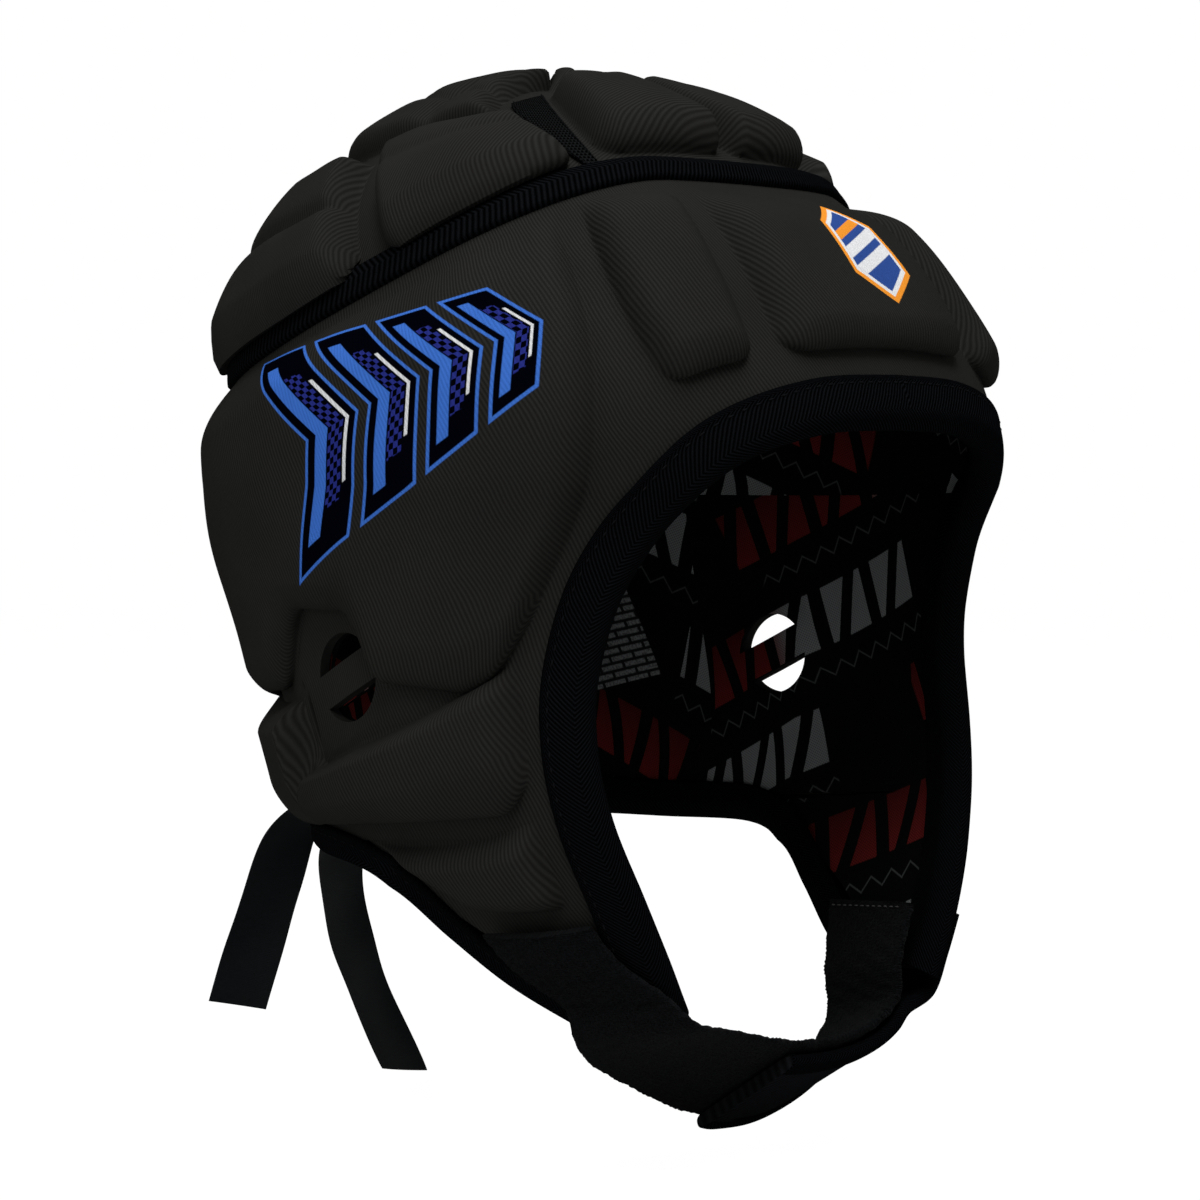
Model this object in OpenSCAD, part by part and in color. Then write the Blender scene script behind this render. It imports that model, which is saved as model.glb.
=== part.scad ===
// Soft shell headgear: a padded fabric cap with ear holes, cheek flaps, an open face,
// a hook and loop chin strap and a laced rear. Worn level: +Z up, the face looks along -Y,
// the wearer's right is -X. The origin is the middle of the head.

/* [Head form] */
// Half width of the shell's outer face at its widest level
half_w = 86; // [80:0.5:92]
// Length ahead of the origin at the widest level
front_len = 105; // [99:0.5:111]
// Length behind the origin at the widest level
rear_len = 105; // [99:0.5:111]
// How far the length behind shrinks down to the nape
nape_in = 36; // [30:0.5:42]
// Height of the widest level
widest_z = 30; // [26:0.5:34]
// Rise of the dome above the widest level
dome_h = 103; // [97:0.5:109]

/* [Shell] */
// Thickness of the moulded foam shell
shell_t = 3; // [2.4:0.1:3.6]
// Thickness of the knitted liner
liner_t = 1.2; // [0.8:0.1:1.6]
// Clearance between layers and between neighbours
gap = 0.4; // [0.35:0.01:0.5]

/* [Pads] */
// Height of the forehead and side pads above the shell
band_pad_h = 7.2; // [5:0.1:9]
// Height of the crown pads above the shell
crown_pad_h = 9.2; // [7.2:0.1:10.6]
// Height of the ear pads above the shell
ear_pad_h = 9; // [6:0.1:10]
// Height of the cheek pads above the shell
cheek_pad_h = 6; // [4:0.1:8]
// Height of a pad's rim, where its sides are drawn in
pad_rim_h = 1.4; // [0.8:0.1:2]
// Width of the channels between the pads
channel_w = 7; // [5:0.5:9]

/* [Face opening and ear holes] */
// Height of the brow edge of the face opening
brow_z = 45; // [42:0.5:48]
// Width of the binding round the face opening
face_tape_w = 12; // [10:0.5:13]
// Width of the binding along the neck edge
neck_tape_w = 9; // [8:0.5:10]
// Width of the tape over the crown seam
seam_tape_w = 9; // [7:0.5:10]
// Thickness of the tape that all bindings are made of
tape_t = 1.2; // [0.9:0.1:1.4]
// Diameter of an ear hole
ear_d = 22; // [18:0.5:26]
// Width of the bar across an ear hole
ear_bar_w = 8.5; // [6:0.5:11]

/* [Chin strap] */
// Width of the loop strap
loop_w = 40; // [34:0.5:42]
// Width of the hook strap that closes over it
hook_w = 36; // [30:0.5:38]
// Thickness of a strap
strap_t = 2.2; // [1.6:0.1:2.6]
// Thickness of the hook tape on the hook strap
hook_t = 1; // [0.6:0.1:1.4]

/* [Rear lacing] */
// Width of each hanging tie
tie_w = 17; // [14:0.5:18]
// Thickness of a tie
tie_t = 1; // [0.8:0.1:1.4]
// Width of the gap that the lace draws together
rear_slot_w = 9; // [7:0.5:12]
// Width of the lace
lace_w = 5; // [4:0.5:6]

/* [Hidden] */

shell_c = [0.135, 0.135, 0.127];
pad_c = [0.15, 0.15, 0.142];
tape_c = [0.03, 0.035, 0.045];
liner_c = [0.07, 0.07, 0.075];

// How far the dome leans back for each millimetre of height, and how its front is drawn in
lean = 0.16;
rear_lean = 0.14;
brow_power = 1.2;
// The plan is a superellipse; its powers in front at the crown, the temples and the cheeks,
// and behind at the rear and the nape
crown_power = 2.65;
temple_power = 2.1;
cheek_power = 2.55;
rear_power = 2.15;
nape_power = 1.9;
// Below this level the cheeks draw in, by this much for each square millimetre
jaw_z = -18;
jaw_rate = 0.0042;
// The crown seam: its height in front, its drop to the rear, and where the drop starts and ends
seam_front_z = 107;
seam_drop = 48;
seam_from = 28;
seam_to = 145;
// Lower edge of the nape
nape_z = -60;
// Place of the ear hole round the head and its height
ear_a = 95;
ear_z = -17;
ear_tilt = 26;
// The face opening's edge on the wearer's right: angle round the head and height
face_edge = [[0, brow_z], [18, brow_z - 1.5], [33, brow_z - 9], [43, 22], [50, 5], [53.5, -14],
    [54, -32], [53, -50], [51, -68], [50, -84], [50, -97]];
// The neck edge on the wearer's right, from the rear centre to the cheek's tip
neck_edge = [[180, nape_z], [150, nape_z - 1], [122, nape_z - 3], [100, nape_z - 4],
    [89.2, nape_z - 9.4], [81.8, -80.4], [74.5, -91.5], [66.5, -100.4]];

// Offsets from the shell's outer face, outwards positive
lining_gap = 0.65;
liner_out = -shell_t - lining_gap;
liner_in = liner_out - liner_t;
pad_base = gap;
tape_out = gap + tape_t;

function clamp01(x) = min(max(x, 0), 1);
function smooth(x) = clamp01(x) * clamp01(x) * (3 - 2 * clamp01(x));
function mixed(a, b, q) = a + (b - a) * q;
function unit(a) = a / norm(a);

// Height on the dome for a level angle v, and back
function level(v) = v >= 0 ? widest_z + dome_h * sin(v) : widest_z + dome_h * v * PI / 180;
function level_angle(z) = z >= widest_z ? asin(min(1, (z - widest_z) / dome_h))
    : (z - widest_z) / dome_h * 180 / PI;

// A point of the shell's outer face at angle a round the head (0 in front, 90 on the right)
function plan_power(z, ca) = mixed(
    mixed(rear_power, nape_power, smooth((widest_z - z) / 90)),
    mixed(mixed(crown_power, temple_power, smooth((58 - z) / 45)), cheek_power, smooth(-z / 55)),
    smooth((ca + 0.35) / 0.7));
function side_len(z) = half_w - (z < jaw_z ? jaw_rate * pow(jaw_z - z, 2) : 0);
function back_len(z) = rear_len - nape_in * smooth((widest_z + 12 - z) / 100);
function bare(a, v) =
    let (z = level(v), up = max(0, z - widest_z), c = v >= 0 ? cos(v) : 1)
    let (ca = cos(a), sa = sin(a), n = plan_power(z, ca))
    let (g = pow(pow(abs(ca), n) + pow(abs(sa), n), -1 / n))
    let (reach = ca >= 0 ? front_len * pow(c, brow_power) : (back_len(z) - rear_lean * up) * c)
    [-side_len(z) * c * g * sa, lean * up - reach * g * ca, z];
function facing(a, v) = unit(cross(bare(a, min(v + 0.4, 89)) - bare(a, min(v, 88.6) - 0.4),
    bare(a - 0.4, min(v, 88.6)) - bare(a + 0.4, min(v, 88.6))));
function outward(a, v) = facing(a, v) * sign(facing(a, v) * (bare(a, v) - [0, 10, 10]));
function face_at(a, v, off) = bare(a, v) + off * outward(a, v);
function at(a, z, off) = face_at(a, level_angle(z), off);

// A smooth run through hand set points, s from 0 to the last point's number
function run(p, s) =
    let (n = len(p) - 1, i = min(floor(s), n - 1), f = s - i)
    let (p0 = p[max(i - 1, 0)], p1 = p[i], p2 = p[i + 1], p3 = p[min(i + 2, n)])
    0.5 * (2 * p1 + (p2 - p0) * f + (2 * p0 - 5 * p1 + 4 * p2 - p3) * f * f
        + (3 * p1 - p0 - 3 * p2 + p3) * f * f * f);
function seam_z(a) = seam_front_z - seam_drop * smooth((abs(a) - seam_from) / (seam_to - seam_from));
function other(p) = [-p[0], p[1], p[2]];

// A closed solid between two grids of points with the same rows and columns; a ring's
// last row meets its first
module slab(outer, inner, ring = false) {
    n = len(outer);
    m = len(outer[0]);
    flat = concat([for (r = outer) each r], [for (r = inner) each r]);
    half = n * m;
    rows = ring ? n : n - 1;
    function o(i, j) = (i % n) * m + j;
    function k(i, j) = half + (i % n) * m + j;
    tops = [for (i = [0:rows - 1], j = [0:m - 2]) each
        [[o(i, j), o(i, j + 1), o(i + 1, j + 1)], [o(i, j), o(i + 1, j + 1), o(i + 1, j)]]];
    unders = [for (i = [0:rows - 1], j = [0:m - 2]) each
        [[k(i, j), k(i + 1, j + 1), k(i, j + 1)], [k(i, j), k(i + 1, j), k(i + 1, j + 1)]]];
    sides = [for (i = [0:rows - 1]) each
        [[o(i, 0), o(i + 1, 0), k(i + 1, 0)], [o(i, 0), k(i + 1, 0), k(i, 0)],
        [o(i, m - 1), k(i + 1, m - 1), o(i + 1, m - 1)],
        [o(i, m - 1), k(i, m - 1), k(i + 1, m - 1)]]];
    ends = ring ? [] : [for (j = [0:m - 2]) each
        [[o(0, j), k(0, j + 1), o(0, j + 1)], [o(0, j), k(0, j), k(0, j + 1)],
        [o(n - 1, j), o(n - 1, j + 1), k(n - 1, j + 1)],
        [o(n - 1, j), k(n - 1, j + 1), k(n - 1, j)]]];
    polyhedron(flat, concat(tops, unders, sides, ends));
}

// A four sided patch with bowed edges: its corners, then the middle of each edge, as
// [angle, level angle]. u and w run from -1 to 1.
function patch(p, u, w) = 0.25 * (
    (1 - u) * (1 - w) * (-u - w - 1) * p[0] + (1 + u) * (1 - w) * (u - w - 1) * p[1]
    + (1 + u) * (1 + w) * (u + w - 1) * p[2] + (1 - u) * (1 + w) * (w - u - 1) * p[3])
    + 0.5 * ((1 - u * u) * (1 - w) * p[4] + (1 + u) * (1 - w * w) * p[5]
    + (1 - u * u) * (1 + w) * p[6] + (1 - u) * (1 - w * w) * p[7]);
function az(p) = [p[0], level_angle(p[1])];
function outline(c, m) = [for (p = concat(c, m)) az(p)];
function steps(n) = [for (i = [0:n]) -1 + 2 * i / n];
function crowded(n) = [for (q = steps(n)) q * (1.4 - 0.4 * q * q)];

// Moves a place on the form by d across an edge that runs along t, to the edge's left
function beside(p, t, d) =
    let (ra = norm(bare(p[0] + 0.5, p[1]) - bare(p[0] - 0.5, p[1])))
    let (rv = norm(bare(p[0], p[1] + 0.5) - bare(p[0], p[1] - 0.5)))
    let (m = [t[0] * ra, t[1] * rv], n = [-m[1], m[0]] * d / norm(m))
    [p[0] + n[0] / ra, p[1] + n[1] / rv];
function edge_place(path, s, d) =
    let (p = az(run(path, s)), q = az(run(path, min(s + 0.05, len(path) - 1))))
    let (r = az(run(path, max(s - 0.05, 0))))
    beside(p, q - r, d);
// One row of a tape's section, each corner [distance from the edge, offset]
function tape_row(path, s, section, turn = 1) = [for (c = section)
    let (q = edge_place(path, s, turn * c[0])) face_at(q[0], q[1], c[1])];
function both_sides(rows) = let (n = len(rows) - 1)
    concat([for (i = [n:-1:1]) [for (p = rows[i]) other(p)]], rows);

// Panels of the shell, as places [angle, height] a little inside the bindings
edge_in = 4;
brow_a = 45;
ear_from = 27;
back_a = 112;
seam_clear = 0.7;
function slot_angle(z) = 180 - rear_slot_w / 2 / back_len(z) * 180 / PI;
function under_seam(a) = [a, seam_z(a > 180 ? 360 - a : a) - seam_clear];
function lining_top(a) = under_seam(a) - [0, 1.8];
front_panel = outline([[-brow_a, 31], [brow_a, 31], under_seam(brow_a), under_seam(-brow_a)],
    [[0, brow_z + edge_in + 1.5], [brow_a, 66], under_seam(0), [-brow_a, 66]]);
side_panel = outline([[brow_a + 0.4, ear_from], [back_a, ear_from], under_seam(back_a),
    under_seam(brow_a + 0.4)], [[78, ear_from], [back_a, 48], under_seam(77), [brow_a + 0.4, 66]]);
ear_panel = outline([[55.7, -52], [back_a, nape_z + 1], [back_a, ear_from - 0.6],
    [brow_a + 0.4, ear_from - 0.6]], [[84, nape_z + edge_in], [back_a, -16], [78, ear_from - 0.6],
    [55.8, -12]]);
cheek_panel = outline([[52.6, -95], [64, -96.5], [97, nape_z - 0.4], [55.6, -52.8]],
    [[58, -96.5], [77, -76.5], [76, -56.4], [54.4, -72]]);
rear_panel = outline([[back_a + 0.5, nape_z + edge_in], [slot_angle(-56), nape_z + edge_in],
    under_seam(slot_angle(58)), under_seam(back_a + 0.5)],
    [[146, nape_z + edge_in], [slot_angle(0), 0], under_seam(146), [back_a + 0.5, 8]]);
rear_lining = outline([[back_a + 0.5, nape_z + edge_in], [359.5 - back_a, nape_z + edge_in],
    lining_top(359.5 - back_a), lining_top(back_a + 0.5)],
    [[180, nape_z + edge_in], [359.5 - back_a, 8], lining_top(180), [back_a + 0.5, 8]]);
top_v = 88;
// Half the angle of a crown panel
quarter = 44.7;
function over_seam(a) = [a, level_angle(seam_z(a > 180 ? 360 - a : a) + seam_clear)];
function petal(a0, a1) =
    let (m = (a0 + a1) / 2, p = over_seam(a0), q = over_seam(a1))
    [p, q, [a1, top_v], [a0, top_v], over_seam(m), (q + [a1, top_v]) / 2, [m, top_v],
    (p + [a0, top_v]) / 2];

// Pads of the band on the wearer's right. A channel's width is kept from each neighbour.
half_channel = channel_w / 2 / half_w * 180 / PI;
centre_a = 26;
brow_pad = outline([[half_channel - centre_a, 61], [centre_a - half_channel, 61],
    [centre_a - half_channel + 1, 101], [half_channel - centre_a - 1, 101]],
    [[0, 63], [centre_a - half_channel + 0.5, 80], [0, 102], [half_channel - centre_a - 0.5, 80]]);
brow_side_pad = outline([[centre_a + half_channel, 59.5], [42, 53], [49, 98],
    [centre_a + half_channel + 1, 101]], [[35.5, 57.5], [46.5, 74], [40, 100.5],
    [centre_a + half_channel + 0.5, 80]]);
side_puff = outline([[63.5, -3], [148, -5], [150, 51.5], [54, 95.5]],
    [[104, 0.5], [150, 20], [98, 68.5], [52, 46]]);
ear_puff = outline([[63.5, -41.5], [148, -50.8], [148, -38], [64.5, -15]],
    [[104, -51.3], [148.5, -44], [104, -39.5], [64.5, -28]]);
// Behind the ear hole the side pad's low edge drops and the ear pad's high edge rises
side_drop = 18.5;
ear_rise = 12.5;
function closing(a) = smooth((a - 102.5) / 11);
cheek_puff = outline([[60.5, -69.5], [72.5, -72], [91, -57.5], [63, -49.5]],
    [[66, -71.5], [82, -64], [76, -56], [62, -60]]);
rear_puff = outline([[153.5, -17], [166, -17], [168, 49], [154.5, 51]],
    [[160, -17.5], [167, 16], [161, 50.5], [154, 16]]);
nape_puff = outline([[153, -50], [164.5, -50], [165.5, -25.5], [153.5, -25.5]],
    [[159, -50.5], [165, -38], [159.5, -25.5], [153, -38]]);

// Pads of the crown, as [angle, level angle]: a low row over the seam and a top row
function over_tape(a) = [a, level_angle(seam_z(a) + seam_tape_w / 2 + 0.8)];
function middle(p, q) = (p + q) / 2;
function crown_outline(a, b, c, d, low, high, right, left) =
    [a, b, c, d, low, is_undef(right) ? middle(b, c) : right, high, is_undef(left) ? middle(a, d) : left];
brow_petal = crown_outline(over_tape(2), over_tape(41), [49, 73], [2, 74], over_tape(20),
    [24, 74.5]);
front_petal = crown_outline([3, 77.5], [50, 77], [48, 88], [8, 88], [26, 77.5], [28, 88]);
temple_petal = crown_outline(over_tape(48), over_tape(87), [103, 54], [58.5, 58.5], over_tape(68),
    [81, 57.5]);
side_petal = crown_outline(over_tape(92.5), over_tape(147), [147, 47], [109, 52.5],
    over_tape(120), [128, 49.5]);
top_petal = crown_outline([66, 62.5], [147, 50.5], [147, 88], [62, 88], [104, 57.5], [104, 88],
    [147, 69], [73, 72]);
back_petal = crown_outline(over_tape(153.5), over_tape(176.5), [176.5, 48], [153.5, 47.5],
    over_tape(165), [165, 48]);
rear_petal = crown_outline([153.5, 51.5], [176.5, 52], [172, 88], [156, 88], [165, 52],
    [164, 88]);
// The top row of crown pads is lower than the rest by this share
top_share = 0.67;
vent = crown_outline([42.5, level_angle(108)], [45.5, level_angle(107.5)], [67, level_angle(126)],
    [52, level_angle(128.5)], [44, level_angle(107.7)], [59, level_angle(127.5)]);

module layer(p, nu, nw, out, in, right = true) {
    grids = [for (off = [out, in]) [for (u = steps(nu)) [for (w = steps(nw))
        let (q = patch(p, u, w)) face_at(q[0], q[1], off)]]];
    if (right) slab(grids[0], grids[1]);
    else mirror([1, 0, 0]) slab(grids[0], grids[1]);
}

// A pad: flat on the shell, crowned on top, its sides drawn in to a low rim. Its low edge
// drops and its high edge rises where the pads close up.
module pad(p, nu, nw, h, right = true, drop = 0, rise = 0) {
    us = crowded(nu);
    ws = crowded(nw);
    place = function(u, w) let (q = patch(p, u, w))
        drop + rise == 0 ? q : [q[0], level_angle(level(q[1])
            + closing(q[0]) * (rise * (1 + w) - drop * (1 - w)) / 2)];
    top = [for (u = us) [for (w = ws)
        let (q = place(u, w), f = pow((1 - pow(abs(u), 3.2)) * (1 - pow(abs(w), 3.2)), 0.45))
        face_at(q[0], q[1], pad_base + pad_rim_h + (h - pad_rim_h) * f)]];
    base = [for (u = us) [for (w = ws) let (q = place(u, w)) face_at(q[0], q[1], pad_base)]];
    color(pad_c) if (right) slab(top, base);
    else mirror([1, 0, 0]) slab(top, base);
}

// Two holes for the ear with a bar of shell left between them
module ear_holes() {
    c = at(ear_a, ear_z, 0);
    translate([c[0], c[1], c[2]]) rotate([0, -90, 0]) rotate([0, 0, ear_tilt]) difference() {
        cylinder(d = ear_d, h = 30, center = true, $fn = 32);
        cube([ear_bar_w, ear_d * 2, 40], center = true);
    }
}

module front_shell() { color(shell_c) layer(front_panel, 15, 8, 0, -shell_t); }
module side_shell(right) { color(shell_c) layer(side_panel, 11, 7, 0, -shell_t, right); }
module ear_shell(right) {
    color(shell_c) side(right) difference() {
        layer(ear_panel, 9, 9, 0, -shell_t);
        ear_holes();
    }
}
module cheek_shell(right) { color(shell_c) layer(cheek_panel, 5, 5, 0, -shell_t, right); }
module rear_shell(right) { color(shell_c) layer(rear_panel, 9, 10, 0, -shell_t, right); }
module crown_shell(a0, a1) { color(shell_c) layer(petal(a0, a1), 12, 8, 0, -shell_t); }
module side(right) { if (right) children(); else mirror([1, 0, 0]) children(); }

// The lining, one layer of knit inside the shell
module front_liner() {
    rows = [for (a = [-back_a:7:back_a]) let (lo = level_angle(abs(a) < brow_a
        ? mixed(brow_z + edge_in + 1, 31, pow(abs(a) / brow_a, 2.4)) : ear_from))
        [for (q = [0:0.125:1]) [a, mixed(lo, level_angle(under_seam(a)[1]), q)]]];
    color(liner_c) slab([for (r = rows) [for (p = r) face_at(p[0], p[1], liner_out)]],
        [for (r = rows) [for (p = r) face_at(p[0], p[1], liner_in)]]);
}
module side_liner(right) {
    color(liner_c) side(right) {
        difference() {
            layer(ear_panel, 8, 8, liner_out, liner_in);
            ear_holes();
        }
        layer(cheek_panel, 4, 5, liner_out, liner_in);
    }
}
module rear_liner() { color(liner_c) layer(rear_lining, 16, 9, liner_out, liner_in); }
module crown_liner() {
    rows = [for (a = [0:7.5:352.5]) let (lo = over_seam(a)[1])
        [for (q = [0:0.125:1]) [a, mixed(lo, top_v, q)]]];
    color(liner_c) slab([for (r = rows) [for (p = r) face_at(p[0], p[1], liner_out)]],
        [for (r = rows) [for (p = r) face_at(p[0], p[1], liner_in)]], true);
}

// The mesh of a crown vent lies over its slot
module vent_mesh(right) {
    color([0.09, 0.09, 0.09]) layer(vent, 2, 8, gap + 0.7, gap, right);
}

// Tape folded over an edge: it covers both faces of the layers that end inside it. The fold
// stands fold_proud past the edge and turns in over fold_turn; its middle is at fold_mid.
fold_in = liner_in - gap;
fold_mid = -2.5;
fold_turn = 1;
fold_proud = 0.4;
function fold_out(w) = [[w, tape_out], [fold_turn, tape_out], [-fold_proud, fold_mid + fold_turn],
    [-fold_proud, fold_mid - fold_turn], [fold_turn, fold_in - tape_t], [w, fold_in - tape_t]];
function fold_core(w) = [[w, gap], [2 * fold_turn, gap], [tape_t, fold_mid + 0.7 * fold_turn],
    [tape_t, fold_mid - 0.7 * fold_turn], [2 * fold_turn, fold_in], [w, fold_in]];
module face_binding() {
    n = len(face_edge) - 1;
    outer = [for (s = [0:0.4:n]) tape_row(face_edge, s, fold_out(face_tape_w))];
    inner = [for (s = [0:0.4:n]) tape_row(face_edge, s, fold_core(face_tape_w))];
    color(tape_c) slab(both_sides(outer), both_sides(inner));
}
module neck_binding() {
    n = len(neck_edge) - 1;
    outer = [for (s = [0:0.35:n]) tape_row(neck_edge, s, fold_out(neck_tape_w), -1)];
    inner = [for (s = [0:0.35:n]) tape_row(neck_edge, s, fold_core(neck_tape_w), -1)];
    color(tape_c) slab(both_sides(inner), both_sides(outer));
}
// The tape over the crown seam, with a low ridge along its middle
seam_ridge = 0.8;
module crown_binding() {
    function seam_row(a, under) = [for (q = [-1, 0, 1])
        let (v = level_angle(seam_z(a > 180 ? 360 - a : a)))
        let (p = beside([a, v], over_seam(a + 1) - over_seam(a - 1), q * seam_tape_w / 2))
        face_at(p[0], p[1], under ? gap : gap + tape_t + (q == 0 ? seam_ridge : 0))];
    angles = [0:7.5:352.5];
    color(tape_c) slab([for (a = angles) seam_row(a, false)], [for (a = angles) seam_row(a, true)], true);
}

// The chin strap's stations, each the rear and the front edge of its middle plane
strap_off = tape_out + gap + strap_t / 2;
function cheek_station(p, q) = [at(p[0], p[1], strap_off), at(q[0], q[1], strap_off)];
loop_line = [cheek_station([76.5, -76], [59, -73]), cheek_station([73, -84], [57, -82]),
    cheek_station([69, -92], [52, -89.5]), cheek_station([65.5, -101.5], [49, -97]),
    [[-30, -34.5, -118], [-27.5, -71, -102.5]], [[0, -34.5, -131], [0, -70, -107.5]],
    [[28, -35, -127.5], [23, -71, -107]], [[49, -36, -113.5], [35.5, -71, -101]],
    [[52, -34.5, -98], [38.4, -69, -91.5]], [[57, -33, -81], [45.5, -66.5, -78]]];
function strap_row(line, s, off, w, bow = 0) =
    let (r = run([for (k = line) k[0]], s), f = run([for (k = line) k[1]], s))
    let (s1 = min(s + 0.1, len(line) - 1), s0 = max(s - 0.1, 0))
    let (m0 = run([for (k = line) k[0] + k[1]], s0), m1 = run([for (k = line) k[0] + k[1]], s1))
    let (n = unit(cross(f - r, m1 - m0)), mid = (r + f) / 2, half = unit(f - r) * w / 2)
    [for (q = [-1, 0, 1]) mid + half * q + n * (off - (1 - q * q) * bow)];
module strap(line, s0, s1, n, off, t, w, bow = 0) {
    stations = [for (i = [0:n]) s0 + (s1 - s0) * i / n];
    slab([for (s = stations) strap_row(line, s, off + t / 2, w, bow * (1 - smooth(s / 3.2)))],
        [for (s = stations) strap_row(line, s, off - t / 2, w, bow * (1 - smooth(s / 3.2)))]);
}
// The loop strap bows round the cheek that it starts on
cheek_bow = 3;
module chin_loop_strap() {
    color([0.05, 0.055, 0.07]) strap(loop_line, 0, len(loop_line) - 1, 30, 0, strap_t, loop_w,
        cheek_bow);
}
// The hook strap lies under the loop strap, with the hook tape between them
hook_off = strap_t + hook_t + 2 * gap;
function under(s) = let (row = strap_row(loop_line, s, -hook_off, loop_w)) [row[0], row[2]];
hook_line = [[[71.1, -33.4, -84], [63.4, -67.8, -82]], [[67.4, -32.5, -94.5], [59, -68, -92]],
    [[60.8, -33.5, -106], [52.2, -69.2, -101]], for (s = [7:-0.4:5]) under(s), under(4.85)];
module chin_hook_strap() {
    color([0.04, 0.043, 0.055]) strap(hook_line, 0, len(hook_line) - 1, 22, 0, strap_t, hook_w);
}
module hook_tape() {
    color([0.02, 0.02, 0.025]) strap(loop_line, 4.95, 6.8, 8, -(strap_t + hook_t) / 2 - gap,
        hook_t, hook_w - 4);
}

// Rear lacing: a flat lace zigzags over the gap through webbing loops sewn to both sides
lace_line = [[186, -30], [174, -18], [186, -6], [174, 6], [186, 18], [174, 30], [184, 40]];
lace_out = gap + 1.4;
module rear_lace() {
    stations = [for (s = [0:0.34:len(lace_line) - 1]) s];
    color(tape_c) slab([for (s = stations) tape_row(lace_line, s, [[-lace_w / 2, lace_out],
        [lace_w / 2, lace_out]])], [for (s = stations) tape_row(lace_line, s,
        [[-lace_w / 2, gap + 0.4], [lace_w / 2, gap + 0.4]])]);
}
loop_len = 13;
loop_half = 2.4;
module lace_loops(right) {
    color(tape_c) for (z = [-18, 6, 30]) {
        lift = [0, 0.9, 1, 0.9, 0];
        row = function(i, t) [for (q = [-1, 1]) at((right ? 172.5 : 187.5) + q * loop_half,
            z + (right ? 0 : -12) + (i - 2) * loop_len / 4, gap + lift[i] * (lace_out + 1) + t)];
        slab([for (i = [0:4]) row(i, 0.8)], [for (i = [0:4]) row(i, 0)]);
    }
}

// The two loose ends of the tie, held at the nape: middle line, the cloth is wide along X
// at the top and turns a little on the way down
right_fall = [[-9, 72.8, -40], [-9.3, 74.8, -46], [-11.5, 83, -52], [-15, 92.5, -58],
    [-20, 98.5, -66], [-25, 101, -82], [-29, 104, -98], [-33.8, 105.5, -113.5]];
left_fall = [[9, 72.8, -40], [9, 74.8, -46], [7, 84, -52], [4.5, 96, -59], [3.5, 102, -68],
    [3.5, 104, -80], [6, 103, -97], [11, 100.5, -114], [20, 95.5, -137]];
module tie(fall, n, turn = 0) {
    last = len(fall) - 1;
    ridge = function(s, t) let (p = run(fall, s), side = turn * smooth((s - 2) / (last - 2)))
        let (d = run(fall, min(s + 0.1, last)) - run(fall, max(s - 0.1, 0)))
        let (nrm = unit(cross(d, [cos(side), -sin(side), 0])))
        [for (q = [-1, -0.5, 0, 0.5, 1]) p + [cos(side), -sin(side), 0] * q * tie_w / 2
            + nrm * (t + 1.4 * smooth(s / last) * (q * q - 0.5))];
    stations = [for (i = [0:n]) last * i / n];
    color([0.045, 0.05, 0.06]) slab([for (s = stations) ridge(s, tie_t / 2)],
        [for (s = stations) ridge(s, -tie_t / 2)]);
}

front_shell();
side_shell(true);  // side_shell_right
side_shell(false);  // side_shell_left
ear_shell(true);  // ear_shell_right
ear_shell(false);  // ear_shell_left
cheek_shell(true);  // cheek_shell_right
cheek_shell(false);  // cheek_shell_left
rear_shell(true);  // rear_shell_right
rear_shell(false);  // rear_shell_left
crown_shell(-quarter, quarter);  // crown_shell_front
crown_shell(90 - quarter, 90 + quarter);  // crown_shell_right
mirror([1, 0, 0]) crown_shell(90 - quarter, 90 + quarter);  // crown_shell_left
crown_shell(180 - quarter, 180 + quarter);  // crown_shell_rear
front_liner();
side_liner(true);  // side_liner_right
side_liner(false);  // side_liner_left
rear_liner();
crown_liner();
pad(brow_pad, 8, 6, band_pad_h);  // forehead_pad_centre
pad(brow_side_pad, 6, 6, band_pad_h);  // forehead_pad_right
pad(brow_side_pad, 6, 6, band_pad_h, false);  // forehead_pad_left
pad(side_puff, 20, 8, band_pad_h, drop = side_drop);  // side_pad_right
pad(side_puff, 20, 8, band_pad_h, false, side_drop);  // side_pad_left
pad(ear_puff, 20, 5, ear_pad_h, rise = ear_rise);  // ear_pad_right
pad(ear_puff, 20, 5, ear_pad_h, false, 0, ear_rise);  // ear_pad_left
pad(cheek_puff, 6, 5, cheek_pad_h);  // cheek_pad_right
pad(cheek_puff, 6, 5, cheek_pad_h, false);  // cheek_pad_left
pad(rear_puff, 4, 8, band_pad_h);  // rear_pad_right
pad(rear_puff, 4, 8, band_pad_h, false);  // rear_pad_left
pad(nape_puff, 4, 5, cheek_pad_h);  // nape_pad_right
pad(nape_puff, 4, 5, cheek_pad_h, false);  // nape_pad_left
pad(brow_petal, 6, 6, crown_pad_h);  // crown_pad_brow_right
pad(brow_petal, 6, 6, crown_pad_h, false);  // crown_pad_brow_left
pad(front_petal, 6, 4, top_share * crown_pad_h);  // crown_pad_front_right
pad(front_petal, 6, 4, top_share * crown_pad_h, false);  // crown_pad_front_left
pad(temple_petal, 7, 6, crown_pad_h);  // crown_pad_temple_right
pad(temple_petal, 7, 6, crown_pad_h, false);  // crown_pad_temple_left
pad(side_petal, 8, 6, crown_pad_h);  // crown_pad_side_right
pad(side_petal, 8, 6, crown_pad_h, false);  // crown_pad_side_left
pad(top_petal, 9, 6, top_share * crown_pad_h);  // crown_pad_top_right
pad(top_petal, 9, 6, top_share * crown_pad_h, false);  // crown_pad_top_left
pad(back_petal, 4, 6, crown_pad_h);  // crown_pad_back_right
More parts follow.
